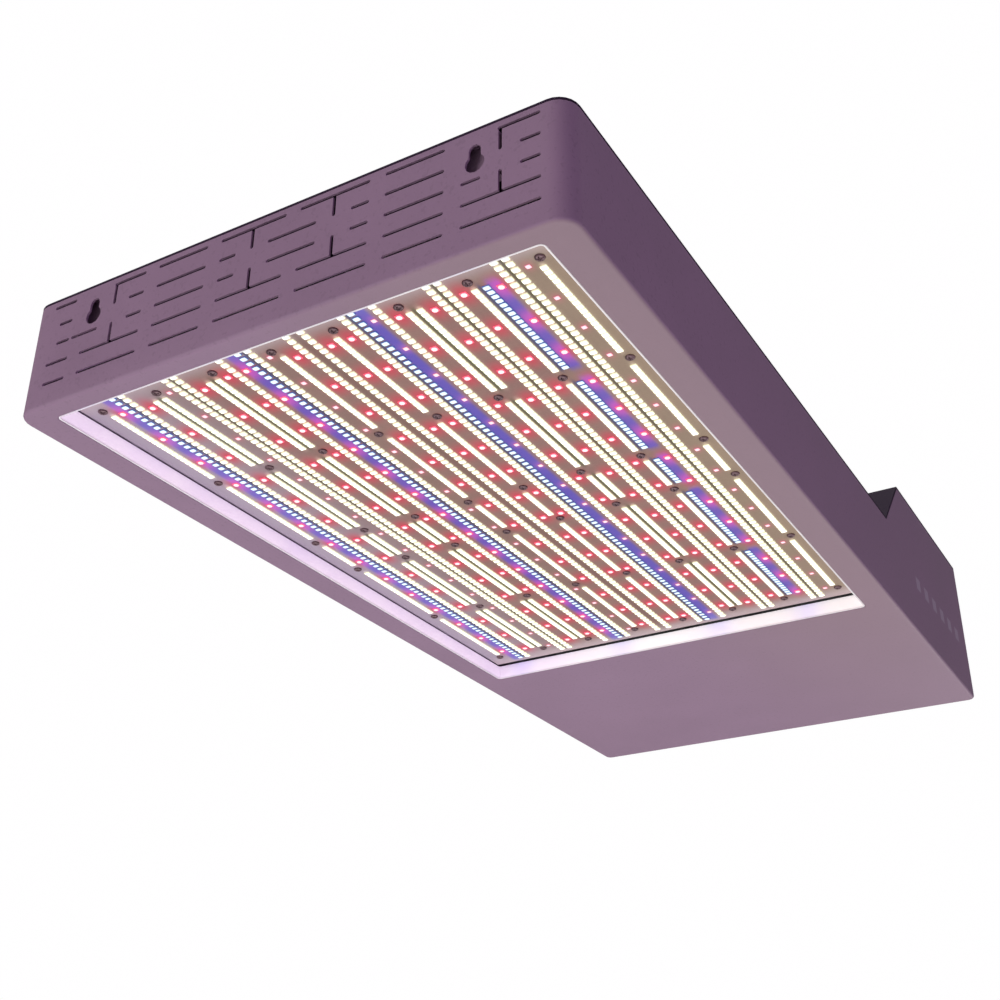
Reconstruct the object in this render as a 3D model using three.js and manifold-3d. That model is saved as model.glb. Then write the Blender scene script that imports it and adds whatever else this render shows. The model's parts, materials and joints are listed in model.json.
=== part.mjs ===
// LED grow light: a shallow sheet-steel housing that hangs with its light facing down,
// a recessed board of LED columns on a finned heat sink, and a raised driver bay at the rear.
// Millimetres. +Z up, the light shines towards -Z, the vented end faces -Y, the driver bay is at +Y.
// The origin is the centre of the footprint, on the plane of the housing's flat bottom.
import * as THREE from "three";
import { mergeVertices } from "three/addons/utils/BufferGeometryUtils.js";
import Module from "manifold-3d";

const wasm = await Module();
wasm.setup();

// ---------------------------------------------------------------- driving dimensions
const WIDTH = 300;
const LENGTH = 636;
const LOW_HEIGHT = 62.5; // height over the light
const HIGH_HEIGHT = 104; // height over the driver bay
const SLOPE_FOOT_Y = 118; // where the cover starts to rise
const SLOPE_TOP_Y = 160; // where it levels out again
const SHEET = 1.2;
const GAP = 0.3; // clearance between neighbouring pieces
const CLEAR_ABOVE = 200; // a height above everything, where cutters end
const COVER_CUT = [LOW_HEIGHT - 12, LOW_HEIGHT + 8]; // heights of the cutters through the low cover
const FRONT_RADIUS = 10; // upright corners beside the vented end
const REAR_RADIUS = 5; // upright corners beside the driver bay
const ROLL = 2; // bend between the bottom and the walls

const FRONT_Y = -LENGTH / 2;
const REAR_Y = LENGTH / 2;
const INNER_X = WIDTH / 2 - SHEET; // inner face of the side walls
const FLOOR_Z = SHEET + GAP; // where pieces stand on the bottom sheet

// the light opening in the bottom and what fills it
const LIGHT_Y = -99.75; // centre of the opening
const OPENING_X = 132.6; // half size across
const OPENING_Y = 208.4; // half size along
const OPENING_RADIUS = 2.8;
const REFLECTOR_WALL = 0.9;
const REFLECTOR_TOP = 9.2; // the walls stop beside the board, clear of its edges
const BOARD_Z = 9.6; // lower face of the LED board
const BOARD_X = 130.2;
const BOARD_Y = 203.6;
const BOARD_THICKNESS = 1.6;

// ---------------------------------------------------------------- materials
function finish(color, roughness, metalness) {
  return new THREE.MeshStandardMaterial({ color, roughness, metalness });
}
const housingPaint = finish(0x87707f, 0.5, 0.1);
const coverPaint = finish(0x2b2230, 0.55, 0.1);
const reflectorWhite = finish(0xf3e6f0, 0.35, 0);
const boardMask = finish(0x9a8684, 0.5, 0.2);
const ledPhosphor = finish(0xf6f3cf, 0.3, 0);
const aluminium = finish(0xb4b6ba, 0.4, 0.9);
const zincPlate = finish(0xa6a8a6, 0.45, 0.85);
const screwSteel = finish(0x50454c, 0.4, 0.9);
const blackPlastic = finish(0x1c1b1e, 0.5, 0);
const redPlastic = finish(0xa32322, 0.4, 0);
const greyPlastic = finish(0xcfd0cb, 0.5, 0);
const driverCase = finish(0x3c3f43, 0.45, 0.6);
const brass = finish(0xc39a55, 0.35, 0.9);
const rubber = finish(0x202020, 0.8, 0);

// ---------------------------------------------------------------- geometry helpers
// A closed geometry as a manifold solid, ready for joins and cuts.
function toSolid(geometry) {
  const plain = geometry.clone();
  plain.deleteAttribute("normal");
  plain.deleteAttribute("uv");
  const merged = mergeVertices(plain, 1e-4);
  return new wasm.Manifold(
    new wasm.Mesh({
      numProp: 3,
      vertProperties: new Float32Array(merged.attributes.position.array),
      triVerts: new Uint32Array(merged.index.array),
    })
  );
}

// A manifold solid back as a three.js geometry.
function toGeometry(solid) {
  const mesh = solid.getMesh();
  const geometry = new THREE.BufferGeometry();
  geometry.setAttribute("position", new THREE.BufferAttribute(mesh.vertProperties, 3));
  geometry.setIndex(new THREE.BufferAttribute(mesh.triVerts, 1));
  geometry.computeVertexNormals();
  return geometry;
}

function union(pieces) {
  return pieces.reduce((whole, piece) => whole.add(piece));
}

function cut(body, cutters) {
  return body.subtract(union(cutters));
}

// A box from its low and high corners.
function box(low, high) {
  const size = high.map((value, axis) => value - low[axis]);
  const geometry = new THREE.BoxGeometry(...size);
  geometry.translate(...low.map((value, axis) => value + size[axis] / 2));
  return toSolid(geometry);
}

// A round bar along Z, from z0 to z1.
function bar(x, y, z0, z1, radius, segments = 12) {
  const geometry = new THREE.CylinderGeometry(radius, radius, z1 - z0, segments);
  geometry.rotateX(Math.PI / 2);
  geometry.translate(x, y, (z0 + z1) / 2);
  return toSolid(geometry);
}

// An outline drawn out to a length along Z.
function drawn(points, length) {
  const shape = new THREE.Shape(points.map(([x, y]) => new THREE.Vector2(x, y)));
  return new THREE.ExtrudeGeometry(shape, { depth: length, bevelEnabled: false });
}

// A flat outline in X and Y, standing from z0 to z1.
function plate(points, z0, z1) {
  const geometry = drawn(points, z1 - z0);
  geometry.translate(0, 0, z0);
  return toSolid(geometry);
}

// An outline in Y and Z, drawn out along X from x0 to x1.
function prismX(points, x0, x1) {
  const geometry = drawn(points, x1 - x0);
  geometry.rotateZ(Math.PI / 2);
  geometry.rotateY(Math.PI / 2);
  geometry.translate(x0, 0, 0);
  return toSolid(geometry);
}

// An outline in X and Z, drawn out along Y from y0 to y1.
function prismY(points, y0, y1) {
  const geometry = drawn(points, y1 - y0);
  geometry.rotateX(Math.PI / 2);
  geometry.translate(0, y1, 0);
  return toSolid(geometry);
}

// A turned piece about Z, from its closed half profile of [radius, z] points.
function turned(profile, segments) {
  const closed = [...profile, profile[0]];
  const points = closed.map(([radius, z]) => new THREE.Vector2(radius, z));
  const geometry = new THREE.LatheGeometry(points, segments);
  geometry.rotateX(Math.PI / 2);
  return geometry;
}

// A round cable through a list of points.
function cable(points, radius, steps = 14) {
  const route = new THREE.CatmullRomCurve3(points.map((point) => new THREE.Vector3(...point)));
  const section = new THREE.Shape();
  section.absarc(0, 0, radius, 0, Math.PI * 2);
  return new THREE.ExtrudeGeometry(section, {
    steps,
    curveSegments: 3,
    bevelEnabled: false,
    extrudePath: route,
  });
}

// Corner points of a rectangle with rounded corners, anticlockwise; radii in quadrant order.
function roundedOutline(x0, x1, y0, y1, radii, segments) {
  const [rightRear, leftRear, leftFront, rightFront] = radii;
  const corners = [
    [x1, y1, -1, -1, rightRear],
    [x0, y1, 1, -1, leftRear],
    [x0, y0, 1, 1, leftFront],
    [x1, y0, -1, 1, rightFront],
  ];
  const points = [];
  corners.forEach(([x, y, inX, inY, radius], quadrant) => {
    for (let step = 0; step <= segments; step += 1) {
      const angle = (quadrant + step / segments) * (Math.PI / 2);
      const centre = [x + inX * radius, y + inY * radius];
      points.push([centre[0] + radius * Math.cos(angle), centre[1] + radius * Math.sin(angle)]);
    }
  });
  return points;
}

// ---------------------------------------------------------------- scene
const light = new THREE.Group();
light.name = "led_grow_light";

function place(name, shape, material, parent = light) {
  const geometry = shape.isBufferGeometry ? shape : toGeometry(shape);
  const mesh = new THREE.Mesh(geometry, material);
  mesh.name = name;
  parent.add(mesh);
  return mesh;
}

// ---------------------------------------------------------------- housing outline
const CORNER_STEPS = 6;

// The housing's plan outline, moved inwards by inset.
function housingOutline(inset) {
  const front = FRONT_RADIUS - inset;
  const rear = Math.max(REAR_RADIUS - inset, 0.4);
  const halfWidth = WIDTH / 2 - inset;
  const radii = [rear, rear, front, front];
  return roundedOutline(-halfWidth, halfWidth, FRONT_Y + inset, REAR_Y - inset, radii, CORNER_STEPS);
}

// A bath shape: the plan outline with its bottom edge rolled under.
function rolledBlock(inset, bottom, top) {
  const roll = ROLL - inset;
  const rollSteps = 6;
  const rings = [];
  for (let step = 0; step <= rollSteps; step += 1) {
    const angle = (step / rollSteps) * (Math.PI / 2);
    const ring = housingOutline(inset + roll * (1 - Math.sin(angle)));
    rings.push(ring.map(([x, y]) => [x, y, bottom + roll * (1 - Math.cos(angle))]));
  }
  rings.push(housingOutline(inset).map(([x, y]) => [x, y, top]));
  return stackRings(rings);
}

// A closed solid through a stack of rings that have the same number of points.
function stackRings(rings) {
  const count = rings[0].length;
  const index = [];
  for (let row = 0; row + 1 < rings.length; row += 1) {
    for (let column = 0; column < count; column += 1) {
      const next = (column + 1) % count;
      const [a, b] = [row * count + column, row * count + next];
      index.push(a, b, b + count, a, b + count, a + count);
    }
  }
  const lastRow = (rings.length - 1) * count;
  for (let column = 1; column + 1 < count; column += 1) {
    index.push(0, column + 1, column);
    index.push(lastRow, lastRow + column, lastRow + column + 1);
  }
  const geometry = new THREE.BufferGeometry();
  geometry.setAttribute("position", new THREE.Float32BufferAttribute(rings.flat(2), 3));
  geometry.setIndex(index);
  return toSolid(geometry);
}

// The covers' line in Y and Z, moved down and inwards by depth, from y0 to y1.
const SLOPE_ANGLE = Math.atan2(HIGH_HEIGHT - LOW_HEIGHT, SLOPE_TOP_Y - SLOPE_FOOT_Y);
function coverLine(depth, y0, y1) {
  const shift = depth * Math.tan(SLOPE_ANGLE / 2);
  return [
    [y0, LOW_HEIGHT - depth],
    [SLOPE_FOOT_Y + shift, LOW_HEIGHT - depth],
    [SLOPE_TOP_Y + shift, HIGH_HEIGHT - depth],
    [y1, HIGH_HEIGHT - depth],
  ];
}

// ---------------------------------------------------------------- vent slots and keyholes
const SLOT_WIDTH = 1.7;
const SLOT_PITCH = 11;
const SLOT_LOWEST_Z = 13.3;
const MOTIF_HALF = 18.3; // half length of a long slot
const SIDE_SLOT_START = 9.6; // where a motif's short slots start, from its stem
const STACK_HALF = 14.5; // half length of a stacked slot
const KEYHOLE_X = 106.4;
const KEYHOLE_ROUND_Z = 44;
const KEYHOLE_ROUND_RADIUS = 4.7;
const KEYHOLE_NECK_RADIUS = 2.9;
const KEYHOLE_TOP_Z = 53.8;

// Rows are numbered from the lowest, 0, to the highest, 4.
function rowZ(row) {
  return SLOT_LOWEST_Z + SLOT_PITCH * row;
}

// A slot outline between two points, with chamfered ends.
function slotOutline(start, end) {
  const [dx, dy] = [end[0] - start[0], end[1] - start[1]];
  const length = Math.hypot(dx, dy);
  const along = [dx / length, dy / length];
  const across = [-along[1], along[0]];
  const half = SLOT_WIDTH / 2;
  const corner = ([x, y], forward, side) => [
    x + along[0] * forward * half + across[0] * side * half,
    y + along[1] * forward * half + across[1] * side * half,
  ];
  return [
    corner(start, 0.4, -1),
    corner(end, -0.4, -1),
    corner(end, 0.4, -0.5),
    corner(end, 0.4, 0.5),
    corner(end, -0.4, 1),
    corner(start, 0.4, 1),
    corner(start, -0.4, 0.5),
    corner(start, -0.4, -0.5),
  ];
}

// Slots through a wall that stands across Y at wallY.
function wallSlot(start, end, wallY) {
  return prismY(slotOutline(start, end), wallY - 4, wallY + 4);
}

function levelSlot(x0, x1, row, wallY) {
  return wallSlot([x0, rowZ(row)], [x1, rowZ(row)], wallY);
}

// Five slots stacked over each other.
function slotStack(x, wallY) {
  return [0, 1, 2, 3, 4].map((row) => levelSlot(x - STACK_HALF, x + STACK_HALF, row, wallY));
}

// The long slots and two stems of one motif; its top slot may lack its left half.
function slotMotif(x, topLeft, wallY) {
  const topStart = topLeft ? x - MOTIF_HALF : x - SLOT_WIDTH / 2;
  return [
    levelSlot(x - MOTIF_HALF, x + MOTIF_HALF, 0, wallY),
    levelSlot(x - MOTIF_HALF, x + MOTIF_HALF, 1, wallY),
    levelSlot(topStart, x + MOTIF_HALF, 4, wallY),
    wallSlot([x, rowZ(1)], [x, rowZ(2)], wallY),
    wallSlot([x, rowZ(3)], [x, rowZ(4)], wallY),
  ];
}

function keyhole(x, wallY) {
  const points = [];
  const neckAngle = Math.acos(KEYHOLE_NECK_RADIUS / KEYHOLE_ROUND_RADIUS);
  const roundSteps = 10;
  for (let step = 0; step <= roundSteps; step += 1) {
    const angle = Math.PI - neckAngle + (step / roundSteps) * (Math.PI + 2 * neckAngle);
    points.push([
      x + KEYHOLE_ROUND_RADIUS * Math.cos(angle),
      KEYHOLE_ROUND_Z + KEYHOLE_ROUND_RADIUS * Math.sin(angle),
    ]);
  }
  const neckSteps = 5;
  for (let step = 0; step <= neckSteps; step += 1) {
    const angle = (step / neckSteps) * Math.PI;
    points.push([
      x + KEYHOLE_NECK_RADIUS * Math.cos(angle),
      KEYHOLE_TOP_Z - KEYHOLE_NECK_RADIUS + KEYHOLE_NECK_RADIUS * Math.sin(angle),
    ]);
  }
  return prismY(points, wallY - 4, wallY + 4);
}

function frontVents() {
  const y = FRONT_Y;
  const spacing = 83.2; // between motifs that have a stack between them
  const pair = 45.2; // between motifs that share their short slots
  const second = -10;
  const first = second - spacing;
  const third = second + pair;
  const fourth = third + spacing;
  const endX = first - pair; // stem line of the motif cut short at the left end
  const endStart = endX + 4.8;
  const cutters = [
    ...slotMotif(first, false, y),
    ...slotMotif(second, true, y),
    ...slotMotif(third, true, y),
    ...slotMotif(fourth, false, y),
    ...slotStack((first + second) / 2, y),
    ...slotStack((third + fourth) / 2, y),
    keyhole(-KEYHOLE_X, y),
    keyhole(KEYHOLE_X, y),
  ];
  [0, 1, 4].forEach((row) => cutters.push(levelSlot(endStart, endX + MOTIF_HALF, row, y)));
  [2, 3].forEach((row) => {
    cutters.push(levelSlot(endX + SIDE_SLOT_START, endX + MOTIF_HALF - 1, row, y));
    cutters.push(levelSlot(first + SIDE_SLOT_START, first + MOTIF_HALF, row, y));
    cutters.push(levelSlot(second - MOTIF_HALF, second - SIDE_SLOT_START, row, y));
    cutters.push(levelSlot(second + SIDE_SLOT_START, third - SIDE_SLOT_START, row, y));
    cutters.push(levelSlot(third + SIDE_SLOT_START, third + MOTIF_HALF, row, y));
    cutters.push(levelSlot(fourth + SIDE_SLOT_START, fourth + MOTIF_HALF, row, y));
  });
  cutters.push(levelSlot(endX + MOTIF_HALF + 1.2, first - SIDE_SLOT_START, 2, y));
  cutters.push(levelSlot(fourth - MOTIF_HALF, fourth - SIDE_SLOT_START, 2, y));
  return cutters;
}

// ---------------------------------------------------------------- mains inlet position
const INLET_Z = 30;
const INLET_MOUTH_X = 13.6; // half width of the mouth
const INLET_MOUTH_Z = 9.8; // half height of the mouth

// ---------------------------------------------------------------- housing
// The light opening's outline, moved outwards by grow.
function openingOutline(grow, radius) {
  const [halfX, halfY] = [OPENING_X + grow, OPENING_Y + grow];
  return roundedOutline(-halfX, halfX, LIGHT_Y - halfY, LIGHT_Y + halfY, Array(4).fill(radius), 3);
}

function housingTray() {
  const top = HIGH_HEIGHT - SHEET - GAP;
  const shell = rolledBlock(0, 0, top).subtract(rolledBlock(SHEET, SHEET, HIGH_HEIGHT));
  const beyond = 20; // how far the cutter runs past both ends
  const coverUnderside = coverLine(SHEET + GAP, FRONT_Y - beyond, REAR_Y + beyond);
  const aboveCovers = prismX(
    [...coverUnderside, [REAR_Y + beyond, CLEAR_ABOVE], [FRONT_Y - beyond, CLEAR_ABOVE]],
    -WIDTH,
    WIDTH
  );
  const opening = plate(openingOutline(0, OPENING_RADIUS), -5, 5);
  const inletMouth = box(
    [-INLET_MOUTH_X, REAR_Y - 5, INLET_Z - INLET_MOUTH_Z],
    [INLET_MOUTH_X, REAR_Y + 5, INLET_Z + INLET_MOUTH_Z]
  );
  const rearVentX = 60;
  return cut(shell, [
    aboveCovers,
    opening,
    inletMouth,
    ...frontVents(),
    ...slotStack(-rearVentX, REAR_Y),
    ...slotStack(rearVentX, REAR_Y),
    keyhole(-KEYHOLE_X, REAR_Y),
    keyhole(KEYHOLE_X, REAR_Y),
  ]);
}
place("housing_tray", housingTray(), housingPaint);

// Pressed pockets behind the keyholes, deep enough for a hanger's screw head.
const POCKET_DEPTH = 4.5;
const POCKET_HALF_X = 11;
const POCKET_Z = [35, 57];

// End is -1 behind the vented end and 1 behind the rear wall.
function hangerPocket(side, end) {
  const sheet = 1;
  const mouth = LENGTH / 2 - SHEET - GAP;
  const x = side * KEYHOLE_X;
  const [z0, z1] = POCKET_Z;
  const depths = (shallow, deep) => [end * shallow, end * deep].sort((a, b) => a - b);
  const [y0, y1] = depths(mouth, mouth - POCKET_DEPTH);
  const [hollowY0, hollowY1] = depths(mouth + 1, mouth - POCKET_DEPTH + sheet);
  const shell = box([x - POCKET_HALF_X, y0, z0], [x + POCKET_HALF_X, y1, z1]);
  const hollow = box(
    [x - POCKET_HALF_X + sheet, hollowY0, z0 + sheet],
    [x + POCKET_HALF_X - sheet, hollowY1, z1 - sheet]
  );
  return shell.subtract(hollow);
}
[-1, 1].forEach((end) => {
  [-1, 1].forEach((side) => {
    const name = `hanger_pocket_${end < 0 ? "front" : "rear"}_${side < 0 ? "left" : "right"}`;
    place(name, hangerPocket(side, end), housingPaint);
  });
});

// ---------------------------------------------------------------- covers
const SEAM_Y = 100; // where the front cover meets the driver cover
const COVER_SCREW_X = 142;
const COVER_SCREW_YS = [-290, -95, 86];
const FOOT_SCREW_X = 120;
const FOOT_SCREW_Y = 109;
const SCREW_HOLE = 1.9;
const FAN_YS = [-210, 5];
const FAN_HALF = 40;
const SLOT_REACH = 36; // radius of a fan grille

// A screw hole's cutter through the low cover and what lies under it.
function coverHole(x, y) {
  return bar(x, y, ...COVER_CUT, SCREW_HOLE, 8);
}

// One round fan grille of parallel slots.
function grille(y) {
  const count = 9;
  const pitch = 8;
  const halfSlot = 1.7;
  const slots = [];
  for (let k = 0; k < count; k += 1) {
    const offset = (k - (count - 1) / 2) * pitch;
    const reach = Math.sqrt(SLOT_REACH ** 2 - offset ** 2);
    const [low, high] = COVER_CUT;
    slots.push(box([-reach, y + offset - halfSlot, low], [reach, y + offset + halfSlot, high]));
  }
  return slots;
}

function frontCover() {
  const sheet = plate(housingOutline(0), LOW_HEIGHT - SHEET, LOW_HEIGHT);
  const holes = [-COVER_SCREW_X, COVER_SCREW_X].flatMap((x) =>
    COVER_SCREW_YS.map((y) => coverHole(x, y))
  );
  const rearPart = box([-WIDTH, SEAM_Y - GAP, 0], [WIDTH, LENGTH, CLEAR_ABOVE]);
  return cut(sheet, [rearPart, ...holes, ...FAN_YS.flatMap(grille)]);
}
place("front_cover", frontCover(), coverPaint);

// The switch and the dimmer sit on the slope, in a frame turned with it.
const slopePanel = new THREE.Group();
slopePanel.position.set(0, (SLOPE_FOOT_Y + SLOPE_TOP_Y) / 2, (LOW_HEIGHT + HIGH_HEIGHT) / 2);
slopePanel.rotation.x = SLOPE_ANGLE;
light.add(slopePanel);
const SWITCH_X = 60;
const SWITCH_CASE_X = 7.5; // half width of the case behind the panel
const SWITCH_CASE_Y = 14.6;
const DIMMER_X = -60;
const BUSH_RADIUS = 3.9;

// A solid drawn in the slope's own frame, moved into the housing's frame.
function onSlope(solid) {
  const geometry = toGeometry(solid);
  slopePanel.updateMatrix();
  geometry.applyMatrix4(slopePanel.matrix);
  return toSolid(geometry);
}

function driverCover() {
  const profile = [...coverLine(0, SEAM_Y, REAR_Y), ...coverLine(SHEET, SEAM_Y, REAR_Y).reverse()];
  const sheet = prismX(profile, -WIDTH, WIDTH).intersect(plate(housingOutline(0), 0, CLEAR_ABOVE));
  const switchHole = box(
    [SWITCH_X - SWITCH_CASE_X - GAP, -SWITCH_CASE_Y - GAP, -6],
    [SWITCH_X + SWITCH_CASE_X + GAP, SWITCH_CASE_Y + GAP, 6]
  );
  return cut(sheet, [
    onSlope(switchHole),
    onSlope(bar(DIMMER_X, 0, -6, 6, BUSH_RADIUS + GAP, 16)),
    coverHole(-FOOT_SCREW_X, FOOT_SCREW_Y),
    coverHole(FOOT_SCREW_X, FOOT_SCREW_Y),
  ]);
}
place("driver_cover", driverCover(), coverPaint);

// Two angle rails inside the side walls carry the front cover.
function coverRail(side) {
  const flangeTop = LOW_HEIGHT - SHEET - GAP;
  const outer = INNER_X - GAP;
  const points = [
    [outer, flangeTop],
    [outer - 12, flangeTop],
    [outer - 12, flangeTop - SHEET],
    [outer - SHEET, flangeTop - SHEET],
    [outer - SHEET, flangeTop - 14],
    [outer, flangeTop - 14],
  ];
  const rail = prismY(points.map(([x, z]) => [side * x, z]), -300, 93);
  return cut(rail, COVER_SCREW_YS.map((y) => coverHole(side * COVER_SCREW_X, y)));
}
place("cover_rail_left", coverRail(-1), zincPlate);
place("cover_rail_right", coverRail(1), zincPlate);

// A pan-head screw, its head's underside at z = 0.
function panScrew(length) {
  return turned(
    [
      [0, -length],
      [1.5, -length],
      [1.5, 0],
      [3.1, 0],
      [2.9, 1.2],
      [1.4, 1.9],
      [0, 1.9],
    ],
    8
  );
}
const coverTop = LOW_HEIGHT + GAP;
[-1, 1].forEach((side) => {
  const sideName = side < 0 ? "left" : "right";
  COVER_SCREW_YS.forEach((y, k) => {
    const screw = place(`cover_screw_${sideName}_${k + 1}`, panScrew(7), screwSteel);
    screw.position.set(side * COVER_SCREW_X, y, coverTop);
  });
  const footScrew = place(`driver_cover_screw_${sideName}`, panScrew(7), screwSteel);
  footScrew.position.set(side * FOOT_SCREW_X, FOOT_SCREW_Y, coverTop);
});

// ---------------------------------------------------------------- partition
// A bent sheet between the light and the driver bay; its flange carries both covers' edges.
const PARTITION_Y = 122;
const GROMMET_X = 60;
const GROMMET_Z = 40;
const GROMMET_HOLE = 7;
function partition() {
  const halfWidth = INNER_X - 0.4;
  const flangeTop = LOW_HEIGHT - SHEET - GAP;
  const back = PARTITION_Y + SHEET;
  const wall = box([-halfWidth, PARTITION_Y, ROLL], [halfWidth, back, flangeTop]);
  const foot = box([-halfWidth + ROLL, PARTITION_Y - 1, FLOOR_Z], [halfWidth - ROLL, back, ROLL + 1]);
  const flange = box([-halfWidth, SEAM_Y - 5, flangeTop - SHEET], [halfWidth, back, flangeTop]);
  const cableHole = (x) => {
    const hole = bar(x, -GROMMET_Z, PARTITION_Y - 3, PARTITION_Y + 4, GROMMET_HOLE, 12);
    return hole.rotate([-90, 0, 0]);
  };
  return cut(union([wall, foot, flange]), [
    cableHole(-GROMMET_X),
    cableHole(GROMMET_X),
    coverHole(-FOOT_SCREW_X, FOOT_SCREW_Y),
    coverHole(FOOT_SCREW_X, FOOT_SCREW_Y),
  ]);
}
place("partition", partition(), zincPlate);

// Rubber rings that line the two cable holes.
function grommet() {
  const lip = GROMMET_HOLE + 2;
  const neck = GROMMET_HOLE - GAP;
  const half = SHEET / 2 + GAP;
  return turned(
    [
      [4, -half - 1.6],
      [lip, -half - 1.6],
      [lip, -half],
      [neck, -half],
      [neck, half],
      [lip, half],
      [lip, half + 1.6],
      [4, half + 1.6],
    ],
    12
  );
}
[-1, 1].forEach((side) => {
  const ring = place(side < 0 ? "grommet_left" : "grommet_right", grommet(), rubber);
  ring.rotation.x = Math.PI / 2;
  ring.position.set(side * GROMMET_X, PARTITION_Y + SHEET / 2, GROMMET_Z);
});

// ---------------------------------------------------------------- reflector frame
// A white frame whose walls line the recess and whose flange lies on the bottom sheet.
function reflectorFrame() {
  const flangeReach = 3.6; // beyond the opening's edge
  const innerRadius = OPENING_RADIUS - GAP - REFLECTOR_WALL;
  const walls = plate(openingOutline(-GAP, OPENING_RADIUS - GAP), 0.1, REFLECTOR_TOP);
  const flange = plate(openingOutline(flangeReach, OPENING_RADIUS), FLOOR_Z, FLOOR_Z + 1);
  const inside = plate(openingOutline(-GAP - REFLECTOR_WALL, innerRadius), -5, 30);
  return cut(walls.add(flange), [inside]);
}
place("reflector_frame", reflectorFrame(), reflectorWhite);

// ---------------------------------------------------------------- LED board
const BOARD_TOP = BOARD_Z + BOARD_THICKNESS;
const SCREW_PITCH_X = 34.6;
const BOARD_SCREW_X = 3.5 * SCREW_PITCH_X;
const BOARD_SCREW_Y = 190.5;
const boardCorners = [-1, 1].flatMap((sideX) =>
  [-1, 1].map((sideY) => [sideX * BOARD_SCREW_X, LIGHT_Y + sideY * BOARD_SCREW_Y])
);
const boardHoles = (radius) => boardCorners.map(([x, y]) => bar(x, y, 0, 40, radius, 8));
const boardPlate = (z0, z1) =>
  cut(box([-BOARD_X, LIGHT_Y - BOARD_Y, z0], [BOARD_X, LIGHT_Y + BOARD_Y, z1]), boardHoles(SCREW_HOLE));

const CIRCUIT = 0.2; // circuit layer under the board
place("led_board", boardPlate(BOARD_Z, BOARD_TOP), aluminium);

// LED columns of one half, from the middle gap outwards; the other half mirrors them.
// C is an unbroken column, S a column broken by the screw rows, and a dot a column of
// spaced single LEDs, which are too small to stand out from the layer they are soldered to.
const COLUMNS = "C.S.CC.C.SS.CC.SS.CC.S";
const COLUMN_START = 4;
const COLUMN_PITCH = 5.5;
const CHIP_LENGTH = 3.5; // across the column
const CHIP_HEIGHT = 0.8;
const UNBROKEN_HALF = 198;
const SEGMENTS = [
  [-185.2, -112.4],
  [-99.8, -27.2],
  [-14.8, 14.8],
  [27.2, 99.8],
  [112.4, 185.2],
];

// The runs of one column, as start and end along Y from the board's centre.
function columnRuns(kind) {
  if (kind === "C") return [[-UNBROKEN_HALF, UNBROKEN_HALF]];
  if (kind === "S") return SEGMENTS;
  return [];
}

// The LEDs stand under a thin circuit layer that joins them to the board.
function ledArray() {
  const circuitTop = BOARD_Z - 0.1;
  const layer = boardPlate(circuitTop - CIRCUIT, circuitTop);
  const chips = [];
  [-1, 1].forEach((side) => {
    [...COLUMNS].forEach((kind, k) => {
      const x = side * (COLUMN_START + COLUMN_PITCH * k);
      columnRuns(kind).forEach(([start, end]) => {
        chips.push(
          box(
            [x - CHIP_LENGTH / 2, LIGHT_Y + start, circuitTop - CIRCUIT - CHIP_HEIGHT],
            [x + CHIP_LENGTH / 2, LIGHT_Y + end, circuitTop - CIRCUIT / 2]
          )
        );
      });
    });
  });
  return union([layer, ...chips]);
}
place("led_array", ledArray(), ledPhosphor);

boardCorners.forEach(([x, y], k) => {
  const screw = place(`board_screw_${k + 1}`, panScrew(4.9), screwSteel);
  screw.rotation.x = Math.PI;
  screw.position.set(x, y, BOARD_Z - 0.1 - CIRCUIT - GAP);
});

// ---------------------------------------------------------------- heat sink
const SINK_BASE = 3.5;
const SINK_Z = BOARD_TOP + GAP;
const FIN_COUNT = 25;
const FIN_PITCH = 10;
const FIN_HALF = 0.9;
const FIN_TOP = 38;
const POST_X = 142;
const POST_YS = [LIGHT_Y - 150, LIGHT_Y + 150];

function heatSink() {
  const baseTop = SINK_Z + SINK_BASE;
  const halfWidth = 146;
  const points = [
    [-halfWidth, SINK_Z],
    [halfWidth, SINK_Z],
    [halfWidth, baseTop],
  ];
  for (let k = FIN_COUNT - 1; k >= 0; k -= 1) {
    const x = (k - (FIN_COUNT - 1) / 2) * FIN_PITCH;
    points.push([x + FIN_HALF, baseTop], [x + FIN_HALF, FIN_TOP]);
    points.push([x - FIN_HALF, FIN_TOP], [x - FIN_HALF, baseTop]);
  }
  points.push([-halfWidth, baseTop]);
  const body = prismY(points, LIGHT_Y - 200, LIGHT_Y + 200);
  const postHoles = [-POST_X, POST_X].flatMap((x) =>
    POST_YS.map((y) => bar(x, y, 0, FIN_TOP, SCREW_HOLE, 8))
  );
  const blindHoles = boardCorners.map(([x, y]) => bar(x, y, 0, baseTop - 0.8, SCREW_HOLE, 8));
  return cut(body, [...postHoles, ...blindHoles]);
}
place("heat_sink", heatSink(), aluminium);

// Four spacers hold the heat sink off the bottom sheet; a stud on each passes through its base.
[-1, 1].forEach((side) => {
  POST_YS.forEach((y, k) => {
    const post = turned(
      [
        [0, FLOOR_Z],
        [3.2, FLOOR_Z],
        [3.2, SINK_Z - GAP],
        [1.5, SINK_Z - GAP],
        [1.5, SINK_Z + SINK_BASE + 4],
        [0, SINK_Z + SINK_BASE + 4],
      ],
      8
    );
    const mesh = place(`sink_post_${side < 0 ? "left" : "right"}_${k + 1}`, post, zincPlate);
    mesh.position.set(side * POST_X, y, 0);
  });
});

// ---------------------------------------------------------------- fans
const FAN_BOTTOM = 40;
const FAN_TOP = LOW_HEIGHT - SHEET - GAP;
const FAN_BORE = 37.6;
const FAN_HOLE = 35.7; // mounting holes, from the fan's middle along X and Y
const HUB_RADIUS = 15;
const BLADE_TIP = 36.4;
const SHAFT_RADIUS = 1.5;
const SHAFT_BORE = 1.58;

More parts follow.
